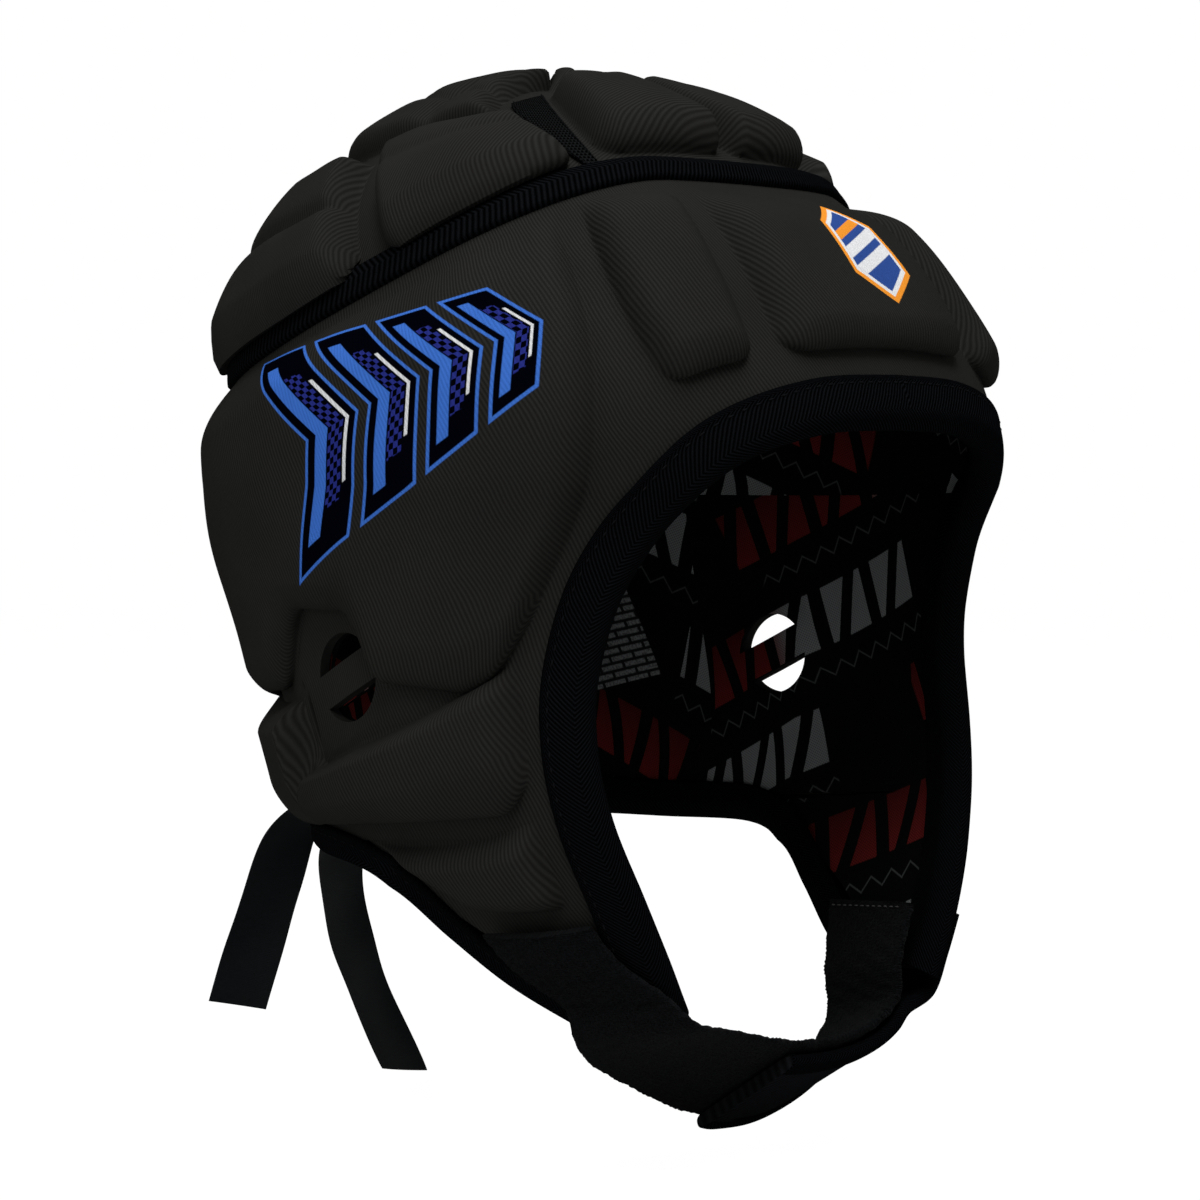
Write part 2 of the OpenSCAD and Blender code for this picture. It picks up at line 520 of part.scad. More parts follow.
pad(back_petal, 4, 6, crown_pad_h, false);  // crown_pad_back_left
pad(rear_petal, 4, 6, top_share * crown_pad_h);  // crown_pad_rear_right
pad(rear_petal, 4, 6, top_share * crown_pad_h, false);  // crown_pad_rear_left
crown_binding();
face_binding();
neck_binding();
vent_mesh(true);  // vent_mesh_right
vent_mesh(false);  // vent_mesh_left
chin_loop_strap();
chin_hook_strap();
hook_tape();
rear_lace();
lace_loops(true);  // lace_loops_right
lace_loops(false);  // lace_loops_left
tie(right_fall, 16, 30);  // rear_tie_right
tie(left_fall, 18, -5);  // rear_tie_left
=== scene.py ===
"""Soft shell headgear: its padded fabric, tapes, lining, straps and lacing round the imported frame."""

import math

import bmesh
import bpy
import numpy as np
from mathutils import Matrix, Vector


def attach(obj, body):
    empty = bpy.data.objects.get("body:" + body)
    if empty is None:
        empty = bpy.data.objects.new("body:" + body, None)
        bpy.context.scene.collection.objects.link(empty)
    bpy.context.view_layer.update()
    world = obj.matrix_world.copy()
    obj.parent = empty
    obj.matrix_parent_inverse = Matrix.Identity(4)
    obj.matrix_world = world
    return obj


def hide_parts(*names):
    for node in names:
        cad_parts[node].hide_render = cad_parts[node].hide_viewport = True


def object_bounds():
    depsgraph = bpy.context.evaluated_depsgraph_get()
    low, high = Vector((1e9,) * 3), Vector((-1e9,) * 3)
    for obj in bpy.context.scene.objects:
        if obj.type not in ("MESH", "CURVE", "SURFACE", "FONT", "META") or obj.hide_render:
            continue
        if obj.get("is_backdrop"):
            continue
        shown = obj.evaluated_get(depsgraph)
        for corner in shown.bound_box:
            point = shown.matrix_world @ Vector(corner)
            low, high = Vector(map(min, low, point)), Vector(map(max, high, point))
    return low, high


bl_info = {
    "name": "Soft shell headgear",
    "version": (1, 0, 0),
    "blender": (4, 5, 0),
    "location": "3D View > Sidebar > Headgear",
    "description": "Builds the padded cap, its tapes, lining, chin strap and lacing",
    "category": "Object",
}

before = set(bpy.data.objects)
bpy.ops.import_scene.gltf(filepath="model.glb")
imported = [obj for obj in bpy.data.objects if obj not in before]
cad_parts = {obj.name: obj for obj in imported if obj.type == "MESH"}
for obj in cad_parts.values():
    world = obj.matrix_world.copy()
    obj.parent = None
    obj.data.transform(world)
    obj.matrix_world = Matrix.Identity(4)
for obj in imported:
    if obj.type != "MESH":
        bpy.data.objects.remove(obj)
CAD_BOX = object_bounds()
MM = 0.001

# The head form in millimetres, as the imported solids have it
HALF_W, FRONT_LEN, REAR_LEN, NAPE_IN = 86, 105, 105, 36
WIDEST_Z, DOME_H = 30, 103
LEAN, REAR_LEAN, BROW_POWER = 0.16, 0.14, 1.2
CROWN_POWER, TEMPLE_POWER, CHEEK_POWER = 2.65, 2.1, 2.55
REAR_POWER, NAPE_POWER = 2.15, 1.9
JAW_Z, JAW_RATE = -18, 0.0042
SEAM_FRONT_Z, SEAM_DROP, SEAM_FROM, SEAM_TO = 107, 48, 28, 145
BROW_Z, NAPE_Z = 45, -60
SHELL_T, LINER_T, GAP, LINING_GAP, TAPE_T = 3, 1.2, 0.4, 0.65, 1.2
FACE_TAPE_W, NECK_TAPE_W, SEAM_TAPE_W = 12, 9, 9
EAR_A, EAR_Z, EAR_TILT, EAR_D, EAR_BAR_W = 95, -17, 26, 22, 8.5
LOOP_W, HOOK_W, STRAP_T, HOOK_T = 40, 36, 2.2, 1
TIE_W, LACE_W = 17, 5
BROW_A, EAR_FROM, BACK_A, REAR_SLOT_W = 45, 27, 112, 9
LINER_OUT = -SHELL_T - LINING_GAP
FOLD_IN = LINER_OUT - LINER_T - GAP
TAPE_OUT = GAP + TAPE_T

# How far the cloth is sunk round an ear hole and how wide, in millimetres
BOWL_DEPTH, BOWL_REACH = 2.4, 17
# How far a pad's cloth runs past its outline, and how far its last row is sunk in the shell
SKIRT, FOOT = 2.4, 0.7
# How much a folded tape swells between its edges
TAPE_SWELL = 0.35
# From a tape's edge to its row of stitches
STITCH_IN = 2.2

# The two bound edges, from the middle to the cheek, as angle round the head and height
FACE_EDGE = [[0, 45], [18, 43.5], [33, 36], [43, 22], [50, 5], [53.5, -14], [54, -32], [53, -50],
             [51, -68], [50, -84], [50, -97]]
NECK_EDGE = [[180, -60], [150, -61], [122, -63], [100, -64], [89.2, -69.4], [81.8, -80.4],
             [74.5, -91.5], [66.5, -100.4]]


def smooth(x):
    x = np.clip(x, 0, 1)
    return x * x * (3 - 2 * x)


def mixed(a, b, q):
    return a + (b - a) * q


def unit(v):
    return v / np.linalg.norm(v, axis=-1, keepdims=True)


def level(v):
    """The height at a level angle: round the dome above the widest level, straight down below it."""
    v = np.asarray(v, float)
    return WIDEST_Z + DOME_H * np.where(v >= 0, np.sin(np.radians(v)), np.radians(v))


def level_angle(z):
    z = (np.asarray(z, float) - WIDEST_Z) / DOME_H
    return np.degrees(np.where(z >= 0, np.arcsin(np.clip(z, -1, 1)), z))


def plan_power(z, ca):
    """How square the head form is at a height, ahead of the ears and behind them."""
    rear = REAR_POWER - (REAR_POWER - NAPE_POWER) * smooth((WIDEST_Z - z) / 90)
    front = mixed(mixed(CROWN_POWER, TEMPLE_POWER, smooth((58 - z) / 45)), CHEEK_POWER, smooth(-z / 55))
    return mixed(rear, front, smooth((ca + 0.35) / 0.7))


def rear_length(z):
    return REAR_LEN - NAPE_IN * smooth((WIDEST_Z + 12 - z) / 100)


def bare(a, v):
    """Points of the shell's outer face at angles a round the head and level angles v."""
    a, v = np.broadcast_arrays(np.asarray(a, float), np.asarray(v, float))
    z = level(v)
    up = np.maximum(0, z - WIDEST_Z)
    c = np.where(v >= 0, np.maximum(np.cos(np.radians(v)), 1e-4), 1)
    ca, sa = np.cos(np.radians(a)), np.sin(np.radians(a))
    n = plan_power(z, ca)
    g = (np.abs(ca) ** n + np.abs(sa) ** n) ** (-1 / n)
    side = HALF_W - np.where(z < JAW_Z, JAW_RATE * (JAW_Z - z) ** 2, 0)
    reach = np.where(ca >= 0, FRONT_LEN * c ** BROW_POWER, (rear_length(z) - REAR_LEAN * up) * c)
    return np.stack([-side * c * g * sa, LEAN * up - reach * g * ca, z], -1)


def outward(a, v):
    mid = np.minimum(v, 88.6)
    n = unit(np.cross(bare(a, np.minimum(v + 0.4, 89)) - bare(a, mid - 0.4),
                      bare(a - 0.4, mid) - bare(a + 0.4, mid)))
    return n * np.sign(np.sum(n * (bare(a, v) - [0, 10, 10]), -1, keepdims=True))


def face_at(a, v, off):
    return bare(a, v) + np.asarray(off, float)[..., None] * outward(a, v)


def at(a, z, off):
    return face_at(np.asarray(a, float), level_angle(z), off)


def run(points, s):
    """A smooth run through given points, s from 0 to the last point's number."""
    p = np.asarray(points, float)
    n = len(p) - 1
    i = np.clip(np.floor(s).astype(int), 0, n - 1)
    f = (s - i)[..., None]
    p0, p1, p2, p3 = p[np.maximum(i - 1, 0)], p[i], p[i + 1], p[np.minimum(i + 2, n)]
    return 0.5 * (2 * p1 + (p2 - p0) * f + (2 * p0 - 5 * p1 + 4 * p2 - p3) * f ** 2
                  + (3 * p1 - p0 - 3 * p2 + p3) * f ** 3)


def ahead(points, s, step=0.1):
    """The way a run goes at s."""
    return run(points, np.minimum(s + step, len(points) - 1)) - run(points, np.maximum(s - step, 0))


def seam_z(a):
    a = np.asarray(a, float)
    a = np.abs(np.where(a > 180, 360 - a, a))
    return SEAM_FRONT_Z - SEAM_DROP * smooth((a - SEAM_FROM) / (SEAM_TO - SEAM_FROM))


def seam_level(a, up=0):
    """The crown seam's level angle, or that of a line so many millimetres above it."""
    return level_angle(seam_z(a) + up)


def patch(p, u, w):
    """A four sided patch with bowed edges, as [angle, level angle], u and w from -1 to 1."""
    u, w = u[..., None], w[..., None]
    corners = ((1 - u) * (1 - w) * (-u - w - 1) * p[0] + (1 + u) * (1 - w) * (u - w - 1) * p[1]
               + (1 + u) * (1 + w) * (u + w - 1) * p[2] + (1 - u) * (1 + w) * (w - u - 1) * p[3])
    return 0.25 * corners + 0.5 * ((1 - u * u) * (1 - w) * p[4] + (1 + u) * (1 - w * w) * p[5]
                                   + (1 - u * u) * (1 + w) * p[6] + (1 - u) * (1 - w * w) * p[7])


def outline(corners, middles):
    p = np.array([*corners, *middles], float)
    p[:, 1] = level_angle(p[:, 1])
    return p


def beside(p, t, d):
    """Places moved by d millimetres across an edge that runs along t, to its left."""
    a, v = p.T
    ra = np.linalg.norm(bare(a + 0.5, v) - bare(a - 0.5, v), axis=-1)
    rv = np.linalg.norm(bare(a, v + 0.5) - bare(a, v - 0.5), axis=-1)
    m = unit(np.stack([t[:, 0] * ra, t[:, 1] * rv], -1))
    return np.stack([a - m[:, 1] * d / ra, v + m[:, 0] * d / rv], -1)


def on_path(path, s):
    p = run(path, s)
    p[..., 1] = level_angle(p[..., 1])
    return p


def edge_place(path, s, d):
    further = on_path(path, np.minimum(s + 0.05, len(path) - 1))
    return beside(on_path(path, s), further - on_path(path, np.maximum(s - 0.05, 0)), d)


def measured(path_at, s0, s1):
    """Places s along a run, and how far each lies from the first."""
    s = np.linspace(s0, s1, 400)
    steps = np.linalg.norm(np.diff(path_at(s), axis=0), axis=1)
    return s, np.concatenate([[0], np.cumsum(steps)])


def even(path_at, last):
    """Makes even steps of length out of a run's own steps: share 0 to 1 to place s, and the length."""
    s, far = measured(path_at, 0, last)
    return (lambda q: np.interp(q * far[-1], far, s)), far[-1]


def even_edge(path):
    return even(lambda s: bare(*on_path(path, s).T), len(path) - 1)


def flat_map(long, wide):
    """A strip's cloth map in millimetres."""
    return lambda u, w: np.stack([u * long, w * wide], -1)


def band_map(a, v):
    """Flat cloth coordinates in millimetres: round the head and up it."""
    return np.stack([np.radians(a) * 92, WIDEST_Z + DOME_H * np.radians(v)], -1)


def crown_map(a, v):
    """Flat cloth coordinates in millimetres, seen from above the crown."""
    far = DOME_H * np.radians(90 - v)
    return np.stack([far * np.sin(np.radians(a)), -far * np.cos(np.radians(a))], -1)


def linked(name, data):
    made = bpy.data.objects.new(name, data)
    bpy.context.scene.collection.objects.link(made)
    return made


def meshed(bm, name):
    mesh = bpy.data.meshes.new(name)
    bm.to_mesh(mesh)
    bm.free()
    return mesh


def finished(bm, name, material, slot, nodes=(), body="cap", sharp=50):
    """Gives a mesh its material, hides the imported parts that it stands for and hangs it on the body that it
    rides on; the slot is not used.
    """
    for face in bm.faces:
        face.smooth = True
    mesh = meshed(bm, name)
    mesh.set_sharp_from_angle(angle=math.radians(sharp))
    piece = linked(name + "_cloth", mesh)
    mesh.materials.append(material)
    if nodes:
        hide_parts(*nodes)
    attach(piece, body)
    return piece


def cloth(name, nu, nw, place, uv, material, slot, nodes=None, body="cap", ring=False, sharp=50, left=False):
    """One piece out of a flat grid, made two layers thick, whose points go where place puts them."""
    bm = bmesh.new()
    bmesh.ops.create_grid(bm, x_segments=nu, y_segments=nw, size=1.0)
    bmesh.ops.solidify(bm, geom=bm.faces[:], thickness=1.0)
    bm.verts.index_update()
    co = np.array([vert.co for vert in bm.verts])
    u, w, under = co[:, 0], co[:, 1], np.abs(co[:, 2]) > 0.5
    spots = place(u, w, under) * [-1 if left else 1, 1, 1]
    maps = uv(u, w)
    bm.verts.ensure_lookup_table()
    layer = bm.loops.layers.uv.new("cloth")
    for face in bm.faces:
        for loop in face.loops:
            loop[layer].uv = maps[loop.vert.index]
    for vert, spot in zip(bm.verts, spots):
        vert.co = Vector(spot) * MM
    if ring:
        at_end = np.abs(np.abs(u) - 1) < 1e-6
        ends = [vert for vert in bm.verts if at_end[vert.index]]
        rim = [face for face in bm.faces if all(at_end[vert.index] for vert in face.verts)
               and len({u[vert.index] > 0 for vert in face.verts}) == 1]
        bmesh.ops.delete(bm, geom=rim, context="FACES_ONLY")
        bmesh.ops.remove_doubles(bm, verts=[vert for vert in ends if vert.is_valid], dist=1e-5)
    bmesh.ops.recalc_face_normals(bm, faces=bm.faces[:])
    return finished(bm, name, material, slot, [name] if nodes is None else nodes, body, sharp)


def stitches(name, points, along, up, length, thick, material, slot, turns=(1,)):
    """A row of thread stitches, each a rounded bead drawn out along the seam; a turn of -1 mirrors it."""
    bm = bmesh.new()
    for turn in turns:
        for p, t, n in zip(*(rows * [turn, 1, 1] for rows in (points, along, up))):
            t = unit(t)
            side = unit(np.cross(n, t))
            n = np.cross(t, side)
            for vert in bmesh.ops.create_icosphere(bm, subdivisions=1, radius=1.0)["verts"]:
                x, y, z = vert.co / 2
                vert.co = Vector((p + t * x * length + (side * y + n * z) * thick) * MM)
    return finished(bm, name, material, slot, sharp=180)


class Signal:
    """A value in a node tree. Arithmetic on it adds math nodes."""

    def __init__(self, web, socket):
        self.web, self.socket = web, socket

    def __add__(self, other):
        return self.web.math("ADD", self, other)

    def __sub__(self, other):
        return self.web.math("SUBTRACT", self, other)

    def __rsub__(self, other):
        return self.web.math("SUBTRACT", other, self)

    def __mul__(self, other):
        return self.web.math("MULTIPLY", self, other)

    def __truediv__(self, other):
        return self.web.math("DIVIDE", self, other)

    def __abs__(self):
        return self.web.math("ABSOLUTE", self)


class Web:
    """Short calls for a node tree. A value may be a number, a colour, a signal or a node's socket."""

    def __init__(self, tree):
        self.tree, self.spots = tree, None
        tree.nodes.clear()

    def node(self, kind, values=(), **settings):
        made = self.tree.nodes.new(kind if kind.startswith("NodeGroup") else "ShaderNode" + kind)
        for key, value in settings.items():
            setattr(made, key, value)
        for key, value in dict(values).items():
            value = getattr(value, "socket", value)
            if isinstance(value, bpy.types.NodeSocket):
                self.tree.links.new(value, made.inputs[key])
            else:
                made.inputs[key].default_value = value
        return made

    def out(self, kind, values, number=0, **settings):
        return Signal(self, self.node(kind, values, **settings).outputs[number])

    def math(self, operation, *values):
        return self.out("Math", dict(enumerate(values)), operation=operation)

    def sine(self, value):
        return self.math("SINE", value)

    def fract(self, value):
        return self.math("FRACT", value)

    def wave(self, turns):
        """Rises and falls between 0 and 1 once in each turn."""
        return self.math("MULTIPLY_ADD", self.sine(turns * (2 * math.pi)), 0.5, 0.5)

    def noise(self, scale, detail=2.0):
        return self.out("TexNoise", {"Vector": self.spots, "Scale": scale, "Detail": detail})

    def spread(self, value, low, high, to_low=0.0, to_high=1.0):
        return self.out("MapRange", {0: value, 1: low, 2: high, 3: to_low, 4: to_high})

    def blend(self, share, first, second):
        return self.out("Mix", {0: share, 6: first, 7: second}, 2, data_type="RGBA")

    def inside(self, value, half, soft=0.15):
        """1 where the value is within half of zero, with a soft edge."""
        return self.spread(abs(value), half + soft, half - soft)

    def group(self, build, vector, values=()):
        return self.node("Group", {"Vector": vector, **dict(values)}, node_tree=build()).outputs

    def placed(self, spots, centre, turn):
        """The cloth coordinates seen from a motif's own centre and turned to it."""
        return self.out("Mapping", {"Vector": spots, "Location": (*centre, 0), "Rotation": (0, 0, turn)},
                        vector_type="TEXTURE")


def grouped(name, outputs, **inputs):
    """Makes a pattern's function give its node group, built once, with its numbers as named inputs."""
    def wrap(pattern):
        def build():
            if name in bpy.data.node_groups:
                return bpy.data.node_groups[name]
            tree = bpy.data.node_groups.new(name, "ShaderNodeTree")
            new_socket = tree.interface.new_socket
            new_socket("Vector", in_out="INPUT", socket_type="NodeSocketVector")
            for key, value in inputs.items():
                new_socket(key, in_out="INPUT", socket_type="NodeSocketFloat").default_value = value
            for key in outputs:
                new_socket(key, in_out="OUTPUT", socket_type="NodeSocketFloat")
            web = Web(tree)
            start = web.node("NodeGroupInput").outputs
            web.spots, *numbers = [Signal(web, start[key]) for key in ("Vector", *inputs)]
            x, y = [Signal(web, part) for part in web.node("SeparateXYZ", {0: web.spots}).outputs[:2]]
            web.node("NodeGroupOutput", dict(zip(outputs, pattern(web, x, y, *numbers))))
            return tree
        return build
    return wrap


# Each relief group gives a Height for the bump and a Shade that scales the cloth's colour; in the knit and the
# tape the Shade is painted shade between the ribs and painted highlight on them.
RELIEF = ("Height", "Shade")


@grouped("Ribbed knit", RELIEF, Pitch=0.94, Slant=2.71)
def knit_group(web, x, y, pitch, slant):
    """Fine slanted ribs with a soft loop grain between them."""
    across = x * web.math("COSINE", slant) + y * web.sine(slant)
    rib = web.wave((across + web.noise(0.03) * 5.0) / pitch)
    cast = web.spread(web.noise(0.022, 3.0), 0.3, 0.7, 0.9, 1.1)
    # The Shade: painted shade between the ribs and painted highlight on them, times a tone that differs at
    # random
    return rib * 0.7 + web.noise(2.6) * 0.3, web.spread(rib, 0, 1, 0.66, 1.18) * cast


@grouped("Woven tape", RELIEF, Pitch=1.1, Band=6.0, Slope=1.2)
def twill_group(web, x, y, pitch, band, slope):
    """Woven tape: slanted ribs that turn back in bands across the tape."""
    fold = web.math("PINGPONG", y + band, band)
    rib, grain = web.wave((x + fold * slope) / pitch), web.noise(3.5)
    # The Shade: painted shade between the ribs and painted highlight on them, times the grain's tone
    return (rib * 0.8 + grain * 0.35,
            web.spread(rib, 0, 1, 0.35, 1.35) * web.spread(grain, 0.3, 0.7, 0.8, 1.2))


@grouped("Brushed pile", RELIEF)
def pile_group(web, *_):
    """Brushed loop pile: a dense clumped fuzz."""
    fine, clump = web.noise(2.2, 4.0), web.noise(0.5, 3.0)
    return (fine * 0.7 + clump * 0.5,
            web.spread(fine, 0.35, 0.65, 0.4, 1.7) * web.spread(clump, 0.3, 0.7, 0.8, 1.2))


@grouped("Knitted mesh", RELIEF, Count=5.0)
def net_group(web, x, y, count):
    """Knitted mesh: a lattice of round holes in staggered rows."""
    first, second, third = [web.sine((x * math.cos(t) + y * math.sin(t)) * count) for t in (0.52, 1.57, 2.62)]
    height = web.spread((first + second + third) * 0.5, -0.6, 0.5)
    return height, web.spread(height, 0, 1, 0.25, 1.5)


# The side badge's arrowheads: the middle and the half width of each, in millimetres
BADGE_BARS = ((-29.0, 8.0), (-9.0, 7.0), (8.5, 6.0), (24.0, 5.0))


@grouped("Side badge", ("Rim", "Body", "Flash", "Core", "Line"))
def badge_group(web, x, y):
    """A row of arrowheads that grow from front to rear, each with a keyline, for the side of the cap."""
    side = abs(y)
    along = x + side * 0.6
    fall = 19.5 - along * 0.25

    def bars(shape):
        found, *others = [shape(along - middle, half) for middle, half in BADGE_BARS]
        for bar in others:
            found = web.math("MAXIMUM", found, bar)
        return found

    def within(share, extra=0.0):
        return web.spread(fall * share + extra - side, -0.15, 0.15)

    def filled(extra):
        return within(1.0, extra) * bars(lambda far, half: web.inside(far, half + extra))

    body = filled(0.0)
    flash = bars(lambda far, half: web.inside(far + half * 0.42, half * 0.26))
    core = bars(lambda far, half: web.inside(far - half * 0.2, half * 0.3))
    white = bars(lambda far, half: web.inside(far - half * 0.66, half * 0.07, 0.1))
    scales = web.spread(web.sine(y * 2.4) * web.sine(along * 2.4), -0.1, 0.05)
    return (filled(0.9), body, flash * within(0.82) * body, core * within(0.62) * scales,
            white * within(0.5) * body)


@grouped("Brow mark", ("Rim", "Edge", "Body", "Bands", "Spot"))
def mark_group(web, x, y):
    """A small six sided mark with a rim and slanted bands, for the forehead."""
    side = abs(x)
    far = web.math("MAXIMUM", side, side * 0.5 + abs(y) * 0.866)
    rim, edge, body = [web.spread(far, size + 0.12, size - 0.12) for size in (12.6, 11.2, 10.0)]
    tilt = y + x * 0.35
    bands = web.math("MAXIMUM", web.inside(tilt + 3.4, 1.5, 0.12), web.inside(tilt - 1.6, 1.5, 0.12))
    return rim, edge, body, bands * body, web.inside(tilt - 6.2, 1.2, 0.12) * body


@grouped("Lining print", ("Blocks", "Warm", "Thin"))
def print_group(web, x, y):
    """The lining's print: rows of wedges that point up and down in turn, a thin zigzag under each."""
    row = y / 31.0
    up = web.fract(row) * 31.0
    shifted = x + web.math("FLOOR", row) * 47.0
    cell = (shifted + up * 0.3) / 9.5
    side = abs(web.fract(cell) - 0.5) * 2.0
    turned = web.math("GREATER_THAN", web.fract(cell * 0.5), 0.5)
    narrow = abs(turned - web.spread(up, 10.5, 26.0))
    wedge = web.spread(narrow * 0.7 + 0.22 - side, 0, 0.05)
    tall = web.spread(up, 10.3, 10.7) * web.spread(up, 26.4, 26.0)
    reach = web.fract(shifted / 138.0)
    warm = web.spread(reach, 0.34, 0.42)
    mesh = web.spread(web.sine(x * 7.0) * web.sine(y * 7.0), -0.5, 0.3, 0.5, 1.15)
    faded = web.blend(warm, (1, 1, 1, 1), web.spread(up, 8.0, 27.0, 1.0, 0.45))
    zigzag = up - 2.2 - web.math("PINGPONG", shifted, 3.4)
    return (tall * wedge * web.spread(reach, 0.76, 0.755) * mesh * faded, warm,
            web.inside(zigzag, 0.32, 0.2) * web.spread(reach, 0.72, 0.71))


@grouped("Lined patch", ("Ground", "Lines"))
def patch_group(web, x, y):
    """A sewn patch of fine grey lines, broken like courses of brick."""
    course = y / 2.1
    line = web.inside(web.fract(course) - 0.5, 0.3, 0.08)
    gap = web.spread(web.fract((x + web.math("FLOOR", course) * 3.7) / 8.3), 0.9, 0.87)
    ground = web.inside(x, 15.5) * web.inside(y, 20.5)
    return ground, line * gap * ground * web.spread(web.noise(1.6), 0.35, 0.6, 0.35, 1.0)


def painted(colour, share=1):
    return (colour[0] * share, colour[1] * share, colour[2] * share, 1)


def fabric(name, colour, relief, depth, rough=0.85, sheen=0.0, specular=0.0, low=0.75, dress=None, **values):
    """A cloth material: a colour that its relief group's Shade scales, which on the knit and the tape is
    painted shade and painted highlight along the ribs, a bump of that depth in millimetres.
    """
    material = bpy.data.materials.new(name)
    material.use_nodes = True
    material.diffuse_color = painted(colour)
    web = Web(material.node_tree)
    spots = web.out("UVMap", (), uv_map="cloth")
    made = web.group(relief, spots, values)
    # The relief's Shade scales the colour between low and 2 - low times it: painted shade and painted highlight
    # on the ribbed cloths
    paint = web.blend(web.spread(made["Shade"], 0.3, 1.3), painted(colour, low), painted(colour, 2 - low))
    if dress:
        paint = dress(web, spots, paint)
    bump = web.out("Bump", {"Height": made["Height"], "Distance": depth * MM, "Strength": 1.0})
    shader = web.out("BsdfPrincipled", {
        "Base Color": paint, "Roughness": rough, "Specular IOR Level": specular, "Sheen Weight": sheen,
        "Sheen Roughness": 0.6, "Normal": bump})
    web.node("OutputMaterial", {0: shader})
    return material


def kept(name, *look, **more):
    """The cloth of that name, made the first time it is asked for."""
    return bpy.data.materials.get(name) or fabric(name, *look, **more)


def motif(build, colours, centre, turn=0):
    """Lays the parts of a motif over the cloth's paint, each in its colour."""
    def dress(web, spots, paint):
        for share, colour in zip(web.group(build, web.placed(spots, centre, turn)), colours):
            paint = web.blend(share, paint, painted(colour))
        return paint
    return dress


def lining_print(cool, warm):
    def dress(web, spots, paint):
        made = web.group(print_group, web.placed(spots, (0, 0), PRINT_TURN))
        paint = web.blend(made["Blocks"], paint, web.blend(made["Warm"], painted(cool), painted(warm)))
        paint = web.blend(web.math("MULTIPLY", made["Thin"], 0.22), paint, painted(cool))
        sewn = web.group(patch_group, web.placed(spots, PATCH_AT, PATCH_TURN))
        paint = web.blend(sewn["Ground"], paint, painted(cool, 0.06))
        return web.blend(sewn["Lines"], paint, painted(cool))
    return dress


HALF_CHANNEL = math.degrees(3.5 / HALF_W)
CENTRE_A = 26
PAD_A, PAD_B = CENTRE_A - HALF_CHANNEL, CENTRE_A + HALF_CHANNEL
SEAM_CLEAR = 0.7
TOP_V = 89.9
# The level of the neck edge's panels, and the angle past which the rear panels start
NAPE_IN_Z, REAR_A = NAPE_Z + 4, BACK_A + 0.3
# The middles of the side badge, the brow mark and the lined patch on the cloth map, and their turns
BADGE_AT, MARK_AT, PATCH_AT = (118, 55), (-6, 86), (361, -8)
BADGE_TURN, PATCH_TURN, PRINT_TURN = math.radians(157), math.radians(12), math.radians(-24)
BLACK, WHITE, PALE = (0.0008, 0.001, 0.003), (0.72, 0.73, 0.74), (0.7, 0.71, 0.72)


def slot_angle(z):
    return 180 - math.degrees(REAR_SLOT_W / 2 / float(rear_length(z)))


def under_seam(a, drop=SEAM_CLEAR):
    return [a, float(seam_z(a)) - drop]


def over_tape(a):
    return [a, float(seam_level(a, SEAM_TAPE_W / 2 + 0.8))]


def petal(a0, a1):
    """A crown panel from the seam to the top, as a place for each u and w."""
    def where(u, w):
        a = mixed(a0, a1, (u + 1) / 2)
        return np.stack([a, mixed(seam_level(a, 0.2), TOP_V, (w + 1) / 2)], -1)
    return where


def crown_outline(a, b, c, d, low, high, right=None, left=None):
    a, b, c, d = (np.array(p, float) for p in (a, b, c, d))
    return np.array([a, b, c, d, low, right or (b + c) / 2, high, left or (a + d) / 2])


# Each shell panel: its outline, and its cells round the head and up it
PANELS = {
    "front_shell": (outline([[-BROW_A, 31], [BROW_A, 31], under_seam(BROW_A), under_seam(-BROW_A)],
                            [[0, BROW_Z + 5.5], [BROW_A, 66], under_seam(0), [-BROW_A, 66]]), 110, 60),
    "side_shell": (outline([[BROW_A, EAR_FROM], [REAR_A, EAR_FROM], under_seam(REAR_A), under_seam(BROW_A)],
                           [[78, EAR_FROM], [REAR_A, 48], under_seam(77), [BROW_A, 66]]), 80, 50),
    "cheek_shell": (outline([[52.6, -95], [64, -96.5], [97, NAPE_Z - 0.4], [55.6, -51.2]],
                            [[58, -96.5], [77, -76.5], [76, -55.8], [54.4, -72]]), 40, 30),
    "ear_shell": (outline([[55.7, -52], [REAR_A, NAPE_Z + 1], [REAR_A, EAR_FROM], [BROW_A, EAR_FROM]],
                          [[84, NAPE_IN_Z], [REAR_A, -16], [78, EAR_FROM], [55.8, -12]]), 72, 72),
    "rear_shell": (outline([[REAR_A, NAPE_IN_Z], [slot_angle(-56), NAPE_IN_Z], under_seam(slot_angle(58)),
                            under_seam(REAR_A)],
                           [[146, NAPE_IN_Z], [slot_angle(0), 0], under_seam(146), [REAR_A, 8]]), 70, 80),
}
REAR_LINING = outline([[REAR_A, NAPE_IN_Z], [359.7 - BACK_A, NAPE_IN_Z], under_seam(359.7 - BACK_A, 2.5),
                       under_seam(REAR_A, 2.5)],
                      [[180, NAPE_IN_Z], [359.7 - BACK_A, 8], under_seam(180, 2.5), [REAR_A, 8]])
